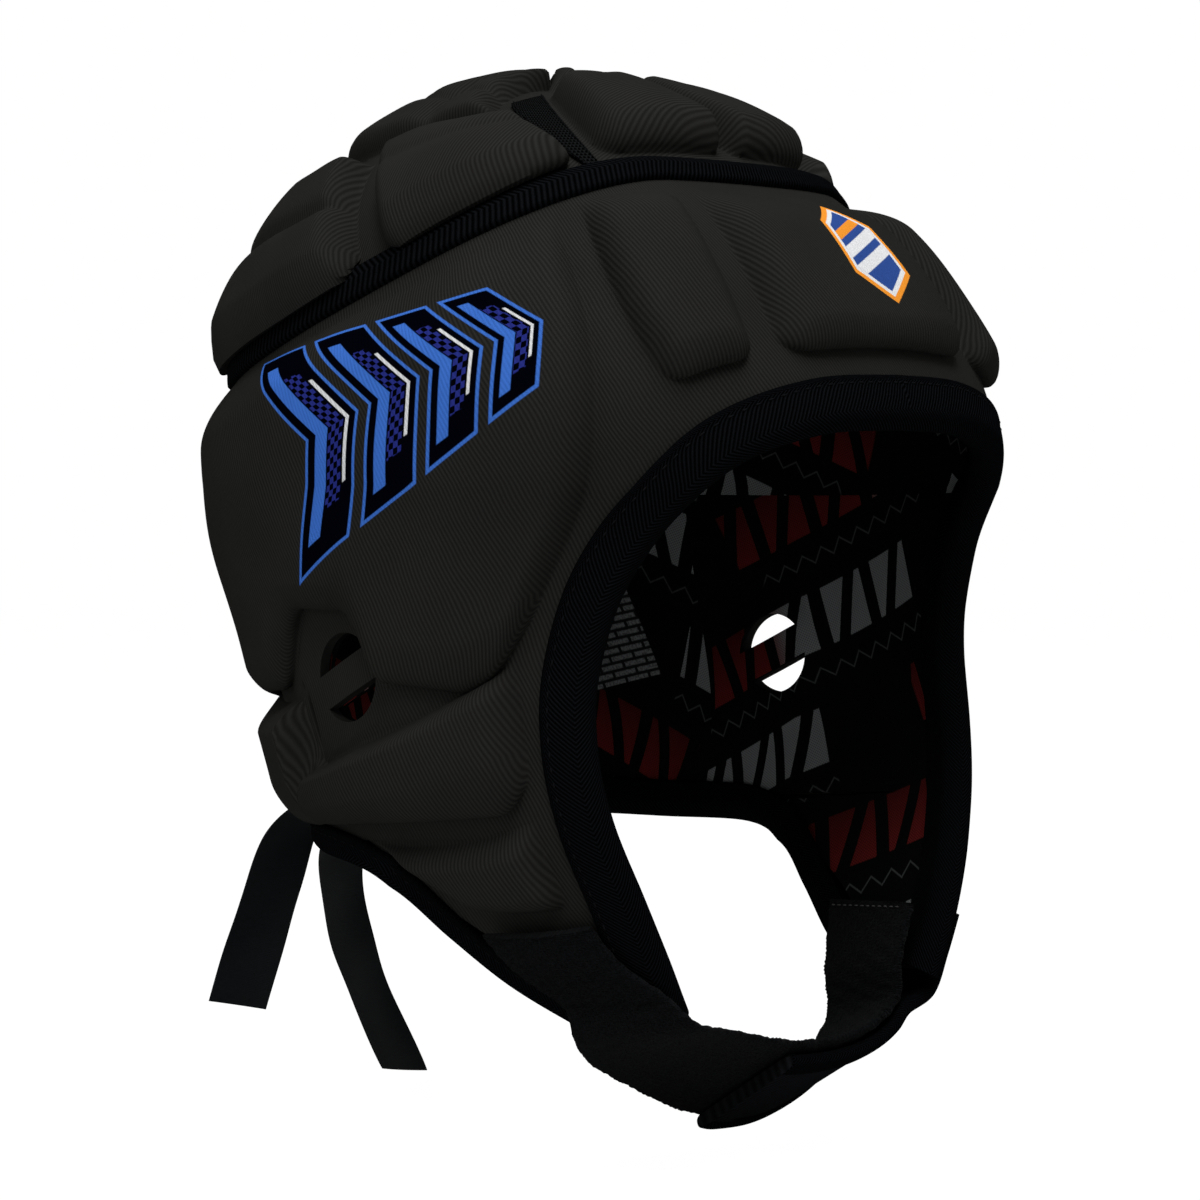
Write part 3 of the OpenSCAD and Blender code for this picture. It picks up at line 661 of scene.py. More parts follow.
# Each pad: its outline, which rise it has, how far its low, right, high and left edges slope
# in millimetres, how far its low edge rolls over what lies under it, and its cells
BAND_PADS = {
    "forehead_pad_centre": (outline(
        [[-PAD_A, 61], [PAD_A, 61], [PAD_A + 1, 101], [-PAD_A - 1, 101]],
        [[0, 63], [PAD_A + 0.5, 80], [0, 102], [-PAD_A - 0.5, 80]]), "band", (8, 9, 17, 9), 3, 84, 60),
    "forehead_pad": (outline(
        [[PAD_B, 59.5], [42, 53], [49, 98], [PAD_B + 1, 101]],
        [[35.5, 57.5], [46.5, 74], [40, 100.5], [PAD_B + 0.5, 80]]), "band", (8, 8, 13, 8), 3, 56, 64),
    "side_pad": (outline([[63.5, -3], [148, -5], [150, 51.5], [54, 95.5]],
                         [[104, 0.5], [150, 20], [98, 68.5], [52, 46]]), "band", (7, 11, 13, 9), 3, 150, 96),
    "ear_pad": (outline(
        [[62.5, -45], [148, -52], [148, -38], [64.5, -11.5]],
        [[104, -52.5], [148.5, -45], [104, -39.5], [63, -28]]), "ear", (5, 9, 3, 8), 1.8, 150, 60),
    "cheek_pad": (outline([[60.5, -69.5], [72.5, -72], [91, -57.5], [63, -49.5]],
                          [[66, -71.5], [82, -64], [76, -56], [62, -60]]), "cheek", (8, 8, 7, 7), 0, 52, 40),
    "rear_pad": (outline([[153.5, -17], [166, -17], [168, 49], [154.5, 51]],
                         [[160, -17.5], [167, 16], [161, 50.5], [154, 16]]), "band", (8, 7, 12, 7), 0, 36, 80),
    "nape_pad": (outline(
        [[153, -50], [164.5, -50], [165.5, -25.5], [153.5, -25.5]],
        [[159, -50.5], [165, -38], [159.5, -25.5], [153, -38]]), "cheek", (6, 6, 6, 6), 0, 32, 40),
}
CROWN_PADS = {
    "crown_pad_brow": (crown_outline(
        over_tape(2), over_tape(41), [49, 73], [2, 74], over_tape(20), [24, 74.5]),
        "crown", (7, 5, 6, 5), 1.6, 64, 56),
    "crown_pad_front": (crown_outline(
        [3, 77.5], [50, 77], [48, 89.2], [8, 89.2], [26, 77.5], [28, 89.2]),
        "top", (6, 5, 1.6, 4), 0, 48, 40),
    "crown_pad_temple": (crown_outline(
        over_tape(48), over_tape(87), [103, 54], [58.5, 58.5], over_tape(68), [81, 57.5]),
        "crown", (4, 6, 6, 5), 6.4, 80, 68),
    "crown_pad_side": (crown_outline(
        over_tape(92.5), over_tape(147), [147, 47], [109, 52.5], over_tape(120), [128, 49.5]),
        "crown", (3.4, 7, 6, 6), 8.5, 80, 68),
    "crown_pad_top": (crown_outline(
        [66, 62.5], [147, 50.5], [147, 89.2], [62, 89.2], [104, 57.5], [104, 89.2], [147, 69], [73, 72]),
        "top", (6, 6, 1.6, 6), 0, 88, 64),
    "crown_pad_back": (crown_outline(
        over_tape(153.5), over_tape(176.5), [176.5, 48], [153.5, 47.5], over_tape(165), [165, 48]),
        "crown", (4, 6, 6, 6), 6.2, 44, 60),
    "crown_pad_rear": (crown_outline(
        [153.5, 51.5], [176.5, 52], [172, 89.2], [156, 89.2], [165, 52], [164, 89.2]),
        "top", (6, 5, 1.6, 5), 0, 40, 64),
}
VENT = crown_outline(*([a, float(level_angle(z))] for a, z in (
    (42.5, 108), (45.5, 107.5), (67, 126), (52, 128.5), (44, 107.7), (59, 127.5))))
# How far the low edge of the side pad drops and the high edge of the ear pad rises, behind the ear
# and before it, each with the angles between which it sets in
CLOSING = {"side_pad": ((-20, 0, 102.5, 113.5), (-16, 0, 93, 84)), "ear_pad": ((0, 17.5, 101.5, 109.5),)}
# Sewn creases across the crown pads: along u or w, where, how deep as a share, how wide in mm
CREASES = {"crown_pad_side": (("w", -0.12, 0.28, 2.6),), "crown_pad_temple": (("w", 0.2, 0.12, 2.2),),
           "crown_pad_top": (("w", -0.15, 0.3, 2.4), ("u", -0.25, 0.45, 3.0)),
           "crown_pad_back": (("w", -0.1, 0.28, 2.6),), "crown_pad_rear": (("w", -0.15, 0.3, 2.4),)}


def closings(kind, a):
    """The moves of a pad's two long edges at angles a: low edge's, high edge's and how far each has set in."""
    return [(drop, rise, smooth((a - start) / (end - start)))
            for drop, rise, start, end in CLOSING.get(kind, ())]


def closed(kind, spots, w):
    """Brings the two long pads close to each other before and behind the ear hole."""
    a, v = spots.T
    for drop, rise, share in closings(kind, a):
        v = level_angle(level(v) + share * smooth((a - 58) / 14) * (drop * (1 - w) + rise * (1 + w)) / 2)
    return np.stack([a, v], -1)


def bowl(a, v):
    """How far the cloth is sunk round the ear holes."""
    far = np.linalg.norm(bare(a, v) - at(EAR_A, EAR_Z, 0), axis=-1)
    return -BOWL_DEPTH * np.exp(-(far / BOWL_REACH) ** 4)


def puff(name, spec, rises, material, left, uv=band_map):
    """A pad: drawn down to the shell all round by soft shoulders, crowned between them."""
    p, rise, soft, roll, nu, nw = spec
    kind = name.rsplit("_", 1)[0]
    line, middle = np.linspace(-1, 1, 60), np.zeros(60)
    long_u, long_w = (np.linalg.norm(np.diff(bare(*patch(p, *way).T), axis=0), axis=1).sum()
                      for way in ((line, middle), (middle, line)))

    def eased(q, length):
        return (1 + 2 * SKIRT / length) * (0.5 * q + 0.5 * np.sin(q * math.pi / 2))

    def where(u, w):
        u, w = eased(u, long_u), eased(w, long_w)
        return closed(kind, patch(p, u, w), w)

    def place(u, w, under):
        u, w = eased(u, long_u), eased(w, long_w)
        inset = [(1 + w) * long_w / 2, (1 - u) * long_u / 2, (1 - w) * long_w / 2, (1 + u) * long_u / 2]
        moves = closings(kind, patch(p, u, w)[:, 0])
        low_turn = sum(4 * share * (1 - share) for drop, _, share in moves if drop)
        high_turn = sum(4 * share * (1 - share) for _, rises_by, share in moves if rises_by)
        wider = (1 + 1.2 * low_turn, 1, 1 + 3.5 * high_turn, 1)
        edges = [np.maximum(0, 1 - d / (r * more)) for d, r, more in zip(inset, soft, wider)]
        slope = sum(edges[i] ** 2.4 for i in (0, 1, 3)) ** (1 / 2.4)
        top = np.minimum(edges[2], 1)
        full = (1 - np.minimum(slope, 1) ** 2.3) ** 1.12 * mixed(1 - top ** 1.7, smooth(1 - top), high_turn)
        for axis, spot, depth, wide in CREASES.get(kind, ()):
            far = (u - spot) * long_u / 2 if axis == "u" else (w - spot) * long_w / 2
            full = full * (1 - depth * np.exp(-np.abs(far / wide) ** 1.4))
        crown = 1 - 0.07 * u * u - 0.07 * w * w - (0.13 * w if rise == "crown" else 0)
        dip = 0.35 * smooth((np.maximum(slope, edges[2]) - 1) / 0.25)
        w = w - 2 * roll / long_w * 4 * full * (1 - full) * np.minimum(edges[0], 1) ** 0.5
        a, v = closed(kind, patch(p, u, w), w).T
        v = np.minimum(v, 89)
        ripple = 0.16 * (np.sin(a * 0.31 + v * 0.23) + np.sin(a * 0.17 - v * 0.37 + 1.3))
        return face_at(a, v, np.where(under, -FOOT, 0.05 + full * (rises[rise] * crown + ripple) - dip))

    return cloth(name, nu, nw, place, lambda u, w: uv(*where(u, w).T), material, "pad_fabric", left=left)


def layer(name, p, nu, nw, out, thick, material, slot, left=False, nodes=None, uv=band_map, sink=None,
          ring=False):
    """A panel of even thickness on the form."""
    where = p if callable(p) else lambda u, w: patch(p, u, w)

    def place(u, w, under):
        a, v = where(u, w).T
        return face_at(a, v, out - np.where(under, thick, 0) + (sink(a, v) if sink else 0))

    return cloth(name, nu, nw, place, lambda u, w: uv(*where(u, w).T), material, slot, nodes, ring=ring,
                 left=left)


def cut_ear_holes(piece, left):
    """Cuts the two half round ear holes, and leaves the bar between them."""
    bm = bmesh.new()
    tilt = math.radians(EAR_TILT)
    for side in (1, -1):
        up = Vector((0, math.sin(tilt), math.cos(tilt))) * side
        verts = bmesh.ops.create_cone(bm, cap_ends=True, segments=72, radius1=EAR_D / 2, radius2=EAR_D / 2,
                                      depth=30)["verts"]
        for vert in verts:
            vert.co = Vector((vert.co.z, vert.co.x, vert.co.y))
        faces = {face for vert in verts for face in vert.link_faces}
        edges = {edge for face in faces for edge in face.edges}
        cut = bmesh.ops.bisect_plane(bm, geom=[*verts, *edges, *faces], plane_co=up * EAR_BAR_W / 2,
                                     plane_no=up, clear_inner=True)
        rim = [edge for edge in cut["geom_cut"] if isinstance(edge, bmesh.types.BMEdge)]
        bmesh.ops.edgenet_fill(bm, edges=rim)
    bmesh.ops.recalc_face_normals(bm, faces=bm.faces[:])
    centre = Vector(at(EAR_A, EAR_Z, 0))
    for vert in bm.verts:
        spot = centre + vert.co
        vert.co = Vector((-spot.x if left else spot.x, spot.y, spot.z)) * MM
    if left:
        bmesh.ops.reverse_faces(bm, faces=bm.faces[:])
    tool = linked("ear_hole_tool", meshed(bm, "ear_hole_tool"))
    cut = piece.modifiers.new("holes", "BOOLEAN")
    cut.operation, cut.solver, cut.object = "DIFFERENCE", "EXACT", tool
    bpy.context.view_layer.update()
    mesh = bpy.data.meshes.new_from_object(piece.evaluated_get(bpy.context.evaluated_depsgraph_get()))
    piece.modifiers.clear()
    old, piece.data = piece.data, mesh
    bpy.data.meshes.remove(old)
    mesh.name = piece.name
    bpy.data.objects.remove(tool)
    mesh.set_sharp_from_angle(angle=math.radians(50))


def both(name):
    return ((name + "_right", False), (name + "_left", True))


def sides(table):
    """Each row of a table of pieces: once for a piece in the middle, or else for both sides of the head."""
    for name, spec in table.items():
        for full, left in ([(name, False)] if name in ("front_shell", "forehead_pad_centre") else both(name)):
            yield full, left, spec


def section_at(outer, core, w, under):
    """Places round a folded tape's section, on its outside, or on its inside under it."""
    t = (w + 1) / 2 * (len(outer) - 1)
    return np.where(under[:, None], run(core, t), run(outer, t)).T


def fold_section(width):
    """A tape folded over an edge: the outside of the fold and its inside, as distance and offset."""
    back = FOLD_IN - TAPE_T
    swollen = back - TAPE_SWELL * 0.5
    outer = [[width, TAPE_OUT - 0.5], [width - 0.7, TAPE_OUT + 0.1], [width - 2.2, TAPE_OUT - 0.05],
             [width / 2, TAPE_OUT + TAPE_SWELL], [2.2, TAPE_OUT + TAPE_SWELL * 0.7], [0, 0.2], [-0.9, -2.3],
             [0, -5], [2.2, swollen], [width / 2, swollen], [width - 2.2, back + 0.1], [width - 0.7, back],
             [width, FOLD_IN - 0.6]]
    core = [[width - 0.2, GAP * 0.3], [width - 1, 0], [width - 2.2, 0], [width / 2, 0], [3, -0.2],
            [1.6, -1.2], [1, -2.3], [1.6, -3.4], *([far, FOLD_IN + 0.2] for far in (
                3, width / 2, width - 2.2, width - 1)), [width - 0.2, FOLD_IN]]
    return outer, core


def edge_tape(name, path, width, turn, nu, material):
    """The folded tape that binds an edge on both sides of the head."""
    outer, core = fold_section(width)
    step, length = even_edge(path)

    def place(u, w, under):
        far, off = section_at(outer, core, w, under)
        p = edge_place(path, step(np.abs(u)), turn * far)
        return face_at(*p.T, off) * np.stack([np.where(u < 0, -1, 1), np.ones(len(u)), np.ones(len(u))], -1)

    return cloth(name, nu, 44, place, flat_map(length, width + 4), material, "binding_tape", sharp=70)


def seam_row(name, path, width, turn, pitch, material):
    """Stitches along a tape, a set distance from the edge, on both sides of the head."""
    step, length = even_edge(path)
    count = int(length / pitch)
    s = step((np.arange(count) + 0.5) / count)
    p, further = (edge_place(path, q, turn * width) for q in (s, np.minimum(s + 0.01, len(path) - 1)))
    spots = face_at(*p.T, TAPE_OUT + 0.05)
    return stitches(name, spots, face_at(*further.T, TAPE_OUT + 0.05) - spots, outward(*p.T), pitch * 0.62, 0.5,
                    material, "binding_tape", (1, -1))


STRAP_OFF = TAPE_OUT + GAP + STRAP_T / 2
HOOK_OFF = STRAP_T + HOOK_T + 2 * GAP


def cheek_station(p, q):
    return [at(*p, STRAP_OFF), at(*q, STRAP_OFF)]


# The loop strap's stations, each the rear and the front edge of its middle plane
LOOP_LINE = np.array([
    cheek_station([76.5, -76], [59, -73]), cheek_station([73, -84], [57, -82]),
    cheek_station([69, -92], [52, -89.5]), cheek_station([65.5, -101.5], [49, -97]),
    [[-30, -34.5, -118], [-27.5, -71, -102.5]], [[0, -34.5, -131], [0, -70, -107.5]],
    [[28, -35, -127.5], [23, -71, -107]], [[49, -36, -113.5], [35.5, -71, -101]],
    [[52, -34.5, -98], [38.4, -69, -91.5]], [[57, -33, -81], [45.5, -66.5, -78]]])


def strap_point(line, s, off, w, width, bow=None):
    rear, front = run(line[:, 0], s), run(line[:, 1], s)
    n = unit(np.cross(front - rear, ahead(line[:, 0] + line[:, 1], s)))
    lift = np.asarray(off - (bow(s) * (1 - w * w) if bow else 0))
    return (rear + front) / 2 + unit(front - rear) * width / 2 * w[:, None] + n * lift[..., None]


def under_loop(s):
    """A station of the hook strap where it lies under the loop strap."""
    return strap_point(LOOP_LINE, np.full(2, s, float), -HOOK_OFF, np.array([-1, 1]), LOOP_W)


# The row of stitches near the loop strap's end, and where the hook tape starts and stops, along it
END_ROW, HOOK_TAPE_FROM, HOOK_TAPE_TO = 8.86, 4.95, 6.8
HOOK_LINE = np.array([[[71.1, -33.4, -84], [63.4, -67.8, -82]], [[67.4, -32.5, -94.5], [59, -68, -92]],
                      [[60.8, -33.5, -106], [52.2, -69.2, -101]],
                      *[under_loop(s) for s in (7, 6.6, 6.2, 5.8, 5.4, 5, 4.85)]])


def strap_map(line, s0, s1, half):
    """A strap's cloth map: millimetres along its middle, and half to each side."""
    s, far = measured(lambda q: run(line.mean(axis=1), q), s0, s1)
    return lambda u, w: np.stack([np.interp(mixed(s0, s1, (u + 1) / 2), s, far), w * half], -1)


def strap(name, line, s0, s1, off, thick, width, material, slot, body, nu, nw, bow=None, more=None,
          across=None):
    """A strap swept along its stations, thinner at its two edges, with more thickness where that is given."""
    def place(u, w, under):
        s = mixed(s0, s1, (u + 1) / 2)
        full = thick / 2 * np.maximum(1 - np.abs(w) ** 10, 0) ** 0.5 + 0.12 + (more(s, w) if more else 0)
        lift = off + np.where(under, -full, full)
        return strap_point(line, s, lift, across(s, w) if across else w, width, bow)

    return cloth(name, nu, nw, place, strap_map(line, s0, s1, width / 2), material, slot, None, body, sharp=60)


def hook_edge(name, side, reach=5):
    """A tape folded over one long edge of the hook strap."""
    h = STRAP_T / 2 + 0.75
    top = [[reach, h - 0.45], [reach - 0.5, h], [reach / 2, h + 0.15], [0.8, h], [-0.5, h * 0.6]]
    inner = [*([far, h - 0.7] for far in (reach - 0.1, reach - 0.5, reach / 2, 0.9)), [0.3, h * 0.4]]
    outer, core = ([*half, fold, *([x, -y] for x, y in half[::-1])]
                   for half, fold in ((top, [-0.8, 0]), (inner, [0.2, 0])))
    s0, s1 = 0.02, len(HOOK_LINE) - 1.05

    def place(u, w, under):
        far, off = section_at(outer, core, w, under)
        return strap_point(HOOK_LINE, mixed(s0, s1, (u + 1) / 2), off, side * (1 - far * 2 / HOOK_W), HOOK_W)

    return cloth(name, 240, 26, place, strap_map(HOOK_LINE, s0, s1, reach + 1), tape_cloth(), "binding_tape",
                 (), "hook_strap", sharp=70)


LACE_LINE = [[186, -30], [174, -18], [186, -6], [174, 6], [186, 18], [174, 30], [184, 40]]
LACE_OUT = GAP + 1.4
LOOP_LEN, LOOP_HALF = 13, 2.4
RIGHT_FALL = [[-9, 72.8, -40], [-9.3, 74.8, -46], [-11.5, 83, -52], [-15, 92.5, -58],
              [-20, 98.5, -66], [-25, 101, -82], [-29, 104, -98], [-33.8, 105.5, -113.5]]
LEFT_FALL = [[9, 72.8, -40], [9, 74.8, -46], [7, 84, -52], [4.5, 96, -59], [3.5, 102, -68],
             [3.5, 104, -80], [6, 103, -97], [11, 100.5, -114], [20, 95.5, -137]]


def tie(side, fall, material, cells, turn):
    """A hanging ribbon end, cupped across its width, that turns by so many degrees on its way down."""
    last = len(fall) - 1
    step, length = even(lambda s: run(fall, s), last)

    def place(u, w, under):
        s = step((u + 1) / 2)
        d = ahead(fall, s)
        twist = np.radians(turn) * smooth((s - 2) / (last - 2))
        across = np.stack([np.cos(twist), -np.sin(twist), 0 * s], -1)
        cup = 1.4 * smooth(s / last) * (w * w - 0.5) + 0.35 * smooth(s / last) * np.sin(s * 4.1 + w * 1.7)
        lift = cup + np.where(under, -0.22, 0.22)
        slant = 1.6 * (s / last) ** 8 * w
        return (run(fall, s) + across * (w * TIE_W / 2)[:, None] + unit(np.cross(d, across)) * lift[:, None]
                + unit(d) * slant[:, None])

    piece = cloth("rear_tie_" + side, cells, 16, place, flat_map(length / 2, TIE_W / 2), material, "tie_ribbon",
                  None, side + "_tie", sharp=60)


def length_prop(name, description, default, low, high):
    return bpy.props.FloatProperty(name=name, description=description, default=default, min=low, max=high,
                                   precision=4, unit="LENGTH")


def colour_prop(name, description, default):
    return bpy.props.FloatVectorProperty(name=name, description=description, default=default, subtype="COLOR",
                                         min=0, max=1)


class HeadgearSizes(bpy.types.PropertyGroup):
    band_rise: length_prop("Band pads", "Height of the forehead and side pads above the shell",
                           0.0074, 0.004, 0.01)
    crown_rise: length_prop("Crown pads", "Height of the crown pads above the shell", 0.0094, 0.007, 0.0108)
    ear_rise: length_prop("Ear pads", "Height of the ear pads above the shell", 0.0092, 0.006, 0.0105)
    cheek_rise: length_prop("Cheek pads", "Height of the cheek and nape pads above the shell",
                            0.0062, 0.003, 0.009)
    stitch_pitch: length_prop("Stitch pitch", "Length of one stitch and the space after it",
                              0.0032, 0.002, 0.005)


class HeadgearColours(bpy.types.PropertyGroup):
    shell: colour_prop("Shell", "The ribbed fabric of the shell and the pads", (0.0148, 0.0148, 0.0137))
    tape: colour_prop("Tape", "The woven binding tape", (0.0028, 0.0031, 0.0037))
    lining: colour_prop("Lining", "The knit inside the cap", (0.0032, 0.0037, 0.0034))
    pile: colour_prop("Pile", "The brushed loop pile of the chin strap", (0.0036, 0.0039, 0.0043))
    strap: colour_prop("Strap", "The woven face of the hook strap", (0.0062, 0.0066, 0.0074))
    ribbon: colour_prop("Ribbon", "The ties and the lace", (0.0045, 0.0062, 0.0071))
    thread: colour_prop("Thread", "The sewing thread", (0.007, 0.0074, 0.008))
    print_cool: colour_prop("Print, cool", "The grey of the lining's print", (0.22, 0.23, 0.235))
    print_warm: colour_prop("Print, warm", "The dark red of the lining's print", (0.15, 0.016, 0.016))
    badge_rim: colour_prop("Badge rim", "The light blue of the side badge", (0.045, 0.15, 0.55))
    badge_core: colour_prop("Badge core", "The deep blue of the side badge", (0.02, 0.028, 0.2))
    mark_rim: colour_prop("Brow mark rim", "The orange rim of the brow mark", (0.83, 0.29, 0.03))
    mark_body: colour_prop("Brow mark body", "The deep blue of the brow mark", (0.028, 0.07, 0.27))


def sizes():
    return bpy.context.scene.headgear_sizes


def colours():
    return bpy.context.scene.headgear_colours


def rises():
    s = sizes()
    return {"band": s.band_rise / MM, "crown": s.crown_rise / MM, "cheek": s.cheek_rise / MM,
            "top": s.crown_rise / MM * 0.68, "ear": s.ear_rise / MM}


def ribbed(name="ribbed_cloth", **more):
    """The knit of the shell and the pads, plain or with a motif on it."""
    return kept(name, colours().shell, knit_group, 0.1, low=0.35, **more)


def crown_cloth():
    return ribbed("ribbed_cloth_crown", Slant=math.pi / 2)


def tape_cloth():
    return kept("twill_tape", colours().tape, twill_group, 0.3, rough=0.7, low=0.1)


def thread_cloth():
    return kept("thread", colours().thread, twill_group, 0.02, rough=0.6)


class HEADGEAR_OT_shell(bpy.types.Operator):
    """Builds the shell's fabric panels, with the ear holes cut"""
    bl_idname = "headgear.shell"
    bl_label = "Shell panels"

    def execute(self, context):
        for full, left, (p, nu, nw) in sides(PANELS):
            sink = bowl if full.startswith("ear") else None
            piece = layer(full, p, nu, nw, 0, SHELL_T, ribbed(), "shell_fabric", left, sink=sink)
            if sink:
                cut_ear_holes(piece, left)
        for side, a0 in (("front", -45), ("right", 45), ("rear", 135), ("left", 225)):
            layer("crown_shell_" + side, petal(a0, a0 + 90), 60, 56, 0, SHELL_T, crown_cloth(), "shell_fabric",
                  uv=crown_map)
        return {"FINISHED"}


class HEADGEAR_OT_band_pads(bpy.types.Operator):
    """Builds the pads of the forehead, sides, ears, cheeks, rear and nape"""
    bl_idname = "headgear.band_pads"
    bl_label = "Band pads"

    def execute(self, context):
        c = colours()
        badge = motif(badge_group, (c.badge_rim, BLACK, c.badge_rim, c.badge_core, PALE), BADGE_AT, BADGE_TURN)
        mark = motif(mark_group, (c.mark_rim, WHITE, c.mark_body, WHITE, c.mark_rim), MARK_AT)
        dressed = {"side_pad_right": ribbed("ribbed_cloth_side_badge", dress=badge),
                   "forehead_pad_centre": ribbed("ribbed_cloth_brow_mark", dress=mark)}
        for full, left, spec in sides(BAND_PADS):
            puff(full, spec, rises(), dressed.get(full) or ribbed(), left)
        return {"FINISHED"}


class HEADGEAR_OT_crown_pads(bpy.types.Operator):
    """Builds the two rows of pads on the crown"""
    bl_idname = "headgear.crown_pads"
    bl_label = "Crown pads"

    def execute(self, context):
        for full, left, spec in sides(CROWN_PADS):
            puff(full, spec, rises(), crown_cloth(), left, crown_map)
        return {"FINISHED"}


class HEADGEAR_OT_lining(bpy.types.Operator):
    """Builds the printed knit lining inside the shell"""
    bl_idname = "headgear.lining"
    bl_label = "Lining"

    def execute(self, context):
        c = colours()
        knit = fabric("lining_knit", c.lining, knit_group, 0.05, rough=0.9, Pitch=0.7,
                      dress=lining_print(c.print_cool, c.print_warm))

        def lined(name, *form, **more):
            return layer(name, *form, LINER_OUT, LINER_T, knit, "liner_knit", **more)

        def front(u, w):
            a = u * BACK_A
            past = np.abs(a) / BROW_A
            low = level_angle(np.where(past < 1, mixed(BROW_Z + 5, 31, np.minimum(past, 1) ** 2.4),
                                       mixed(31, EAR_FROM, smooth((np.abs(a) - BROW_A) / 4))))
            return np.stack([a, mixed(low, seam_level(a, -SEAM_CLEAR), (w + 1) / 2)], -1)

        lined("front_liner", front, 220, 56)
        for full, left in both("side_liner"):
            cut_ear_holes(lined(full, PANELS["ear_shell"][0], 72, 72, left=left, sink=bowl), left)
            lined(full.replace("side", "cheek"), PANELS["cheek_shell"][0], 36, 30, left=left, nodes=[full])
        lined("rear_liner", REAR_LINING, 130, 80)
        lined("crown_liner", petal(0, 360), 180, 50, uv=crown_map, ring=True)
        return {"FINISHED"}


class HEADGEAR_OT_tapes(bpy.types.Operator):
    """Builds the bindings of the face and neck edges and the tape over the crown seam"""
    bl_idname = "headgear.tapes"
    bl_label = "Tapes"

    def execute(self, context):
        tapes = (("face_binding", FACE_EDGE, FACE_TAPE_W, 1), ("neck_binding", NECK_EDGE, NECK_TAPE_W, -1))
        for tape, cells in zip(tapes, (720, 560)):
            edge_tape(*tape, cells, tape_cloth())
        for name, path, width, turn in tapes:
            seam_row(name + "_stitching", path, width - STITCH_IN, turn, sizes().stitch_pitch / MM,
                     thread_cloth())

        def seam(u):
            a = 180 + u * 180
            t = np.stack([np.full(len(a), 2.0), seam_level(a + 1) - seam_level(a - 1)], -1)
            return np.stack([a, seam_level(a)], -1), t

        def place(u, w, under):
            p = beside(*seam(u), w * SEAM_TAPE_W / 2)
            dome = 0.9 * np.maximum(1 - w * w, 0) + 0.35 * np.maximum(1 - (w / 0.35) ** 2, 0)
            return face_at(*p.T, np.where(under, 0.05, GAP + 0.5 + np.minimum((1 - np.abs(w)) * 6, 0.6) + dome))

        length = measured(lambda u: bare(*seam(u)[0].T), -1, 1)[1][-1]
        rib = kept("crown_tape", colours().tape, twill_group, 0.35, rough=0.7, low=0.1,
                   Pitch=1.5, Band=4.6, Slope=0.5)
        cloth("crown_binding", 520, 20, place, flat_map(length / 2, SEAM_TAPE_W / 2), rib, "binding_tape",
              ring=True)
        return {"FINISHED"}


class HEADGEAR_OT_vents(bpy.types.Operator):
    """Builds the mesh panels of the crown vents with their sewn rims"""
    bl_idname = "headgear.vents"
    bl_label = "Vents"

    def execute(self, context):
        net = fabric("vent_net", (0.005, 0.0053, 0.0055), net_group, 0.4, rough=0.8, low=0.2)
        w = np.linspace(-1, 1, 34)
        for full, left in both("vent_mesh"):
            layer(full, VENT, 24, 60, GAP + 0.6, 0.5, net, "vent_net", left)
            for edge, u in (("rear", 0.86), ("front", -0.86)):
                p = patch(VENT, np.full(34, u), w)
                spots = face_at(*p.T, GAP + 0.75)
                stitches(full + "_stitching_" + edge, spots, np.gradient(spots, axis=0), outward(*p.T), 1.3,
                         0.4, thread_cloth(), "vent_net", (-1 if left else 1,))
        return {"FINISHED"}


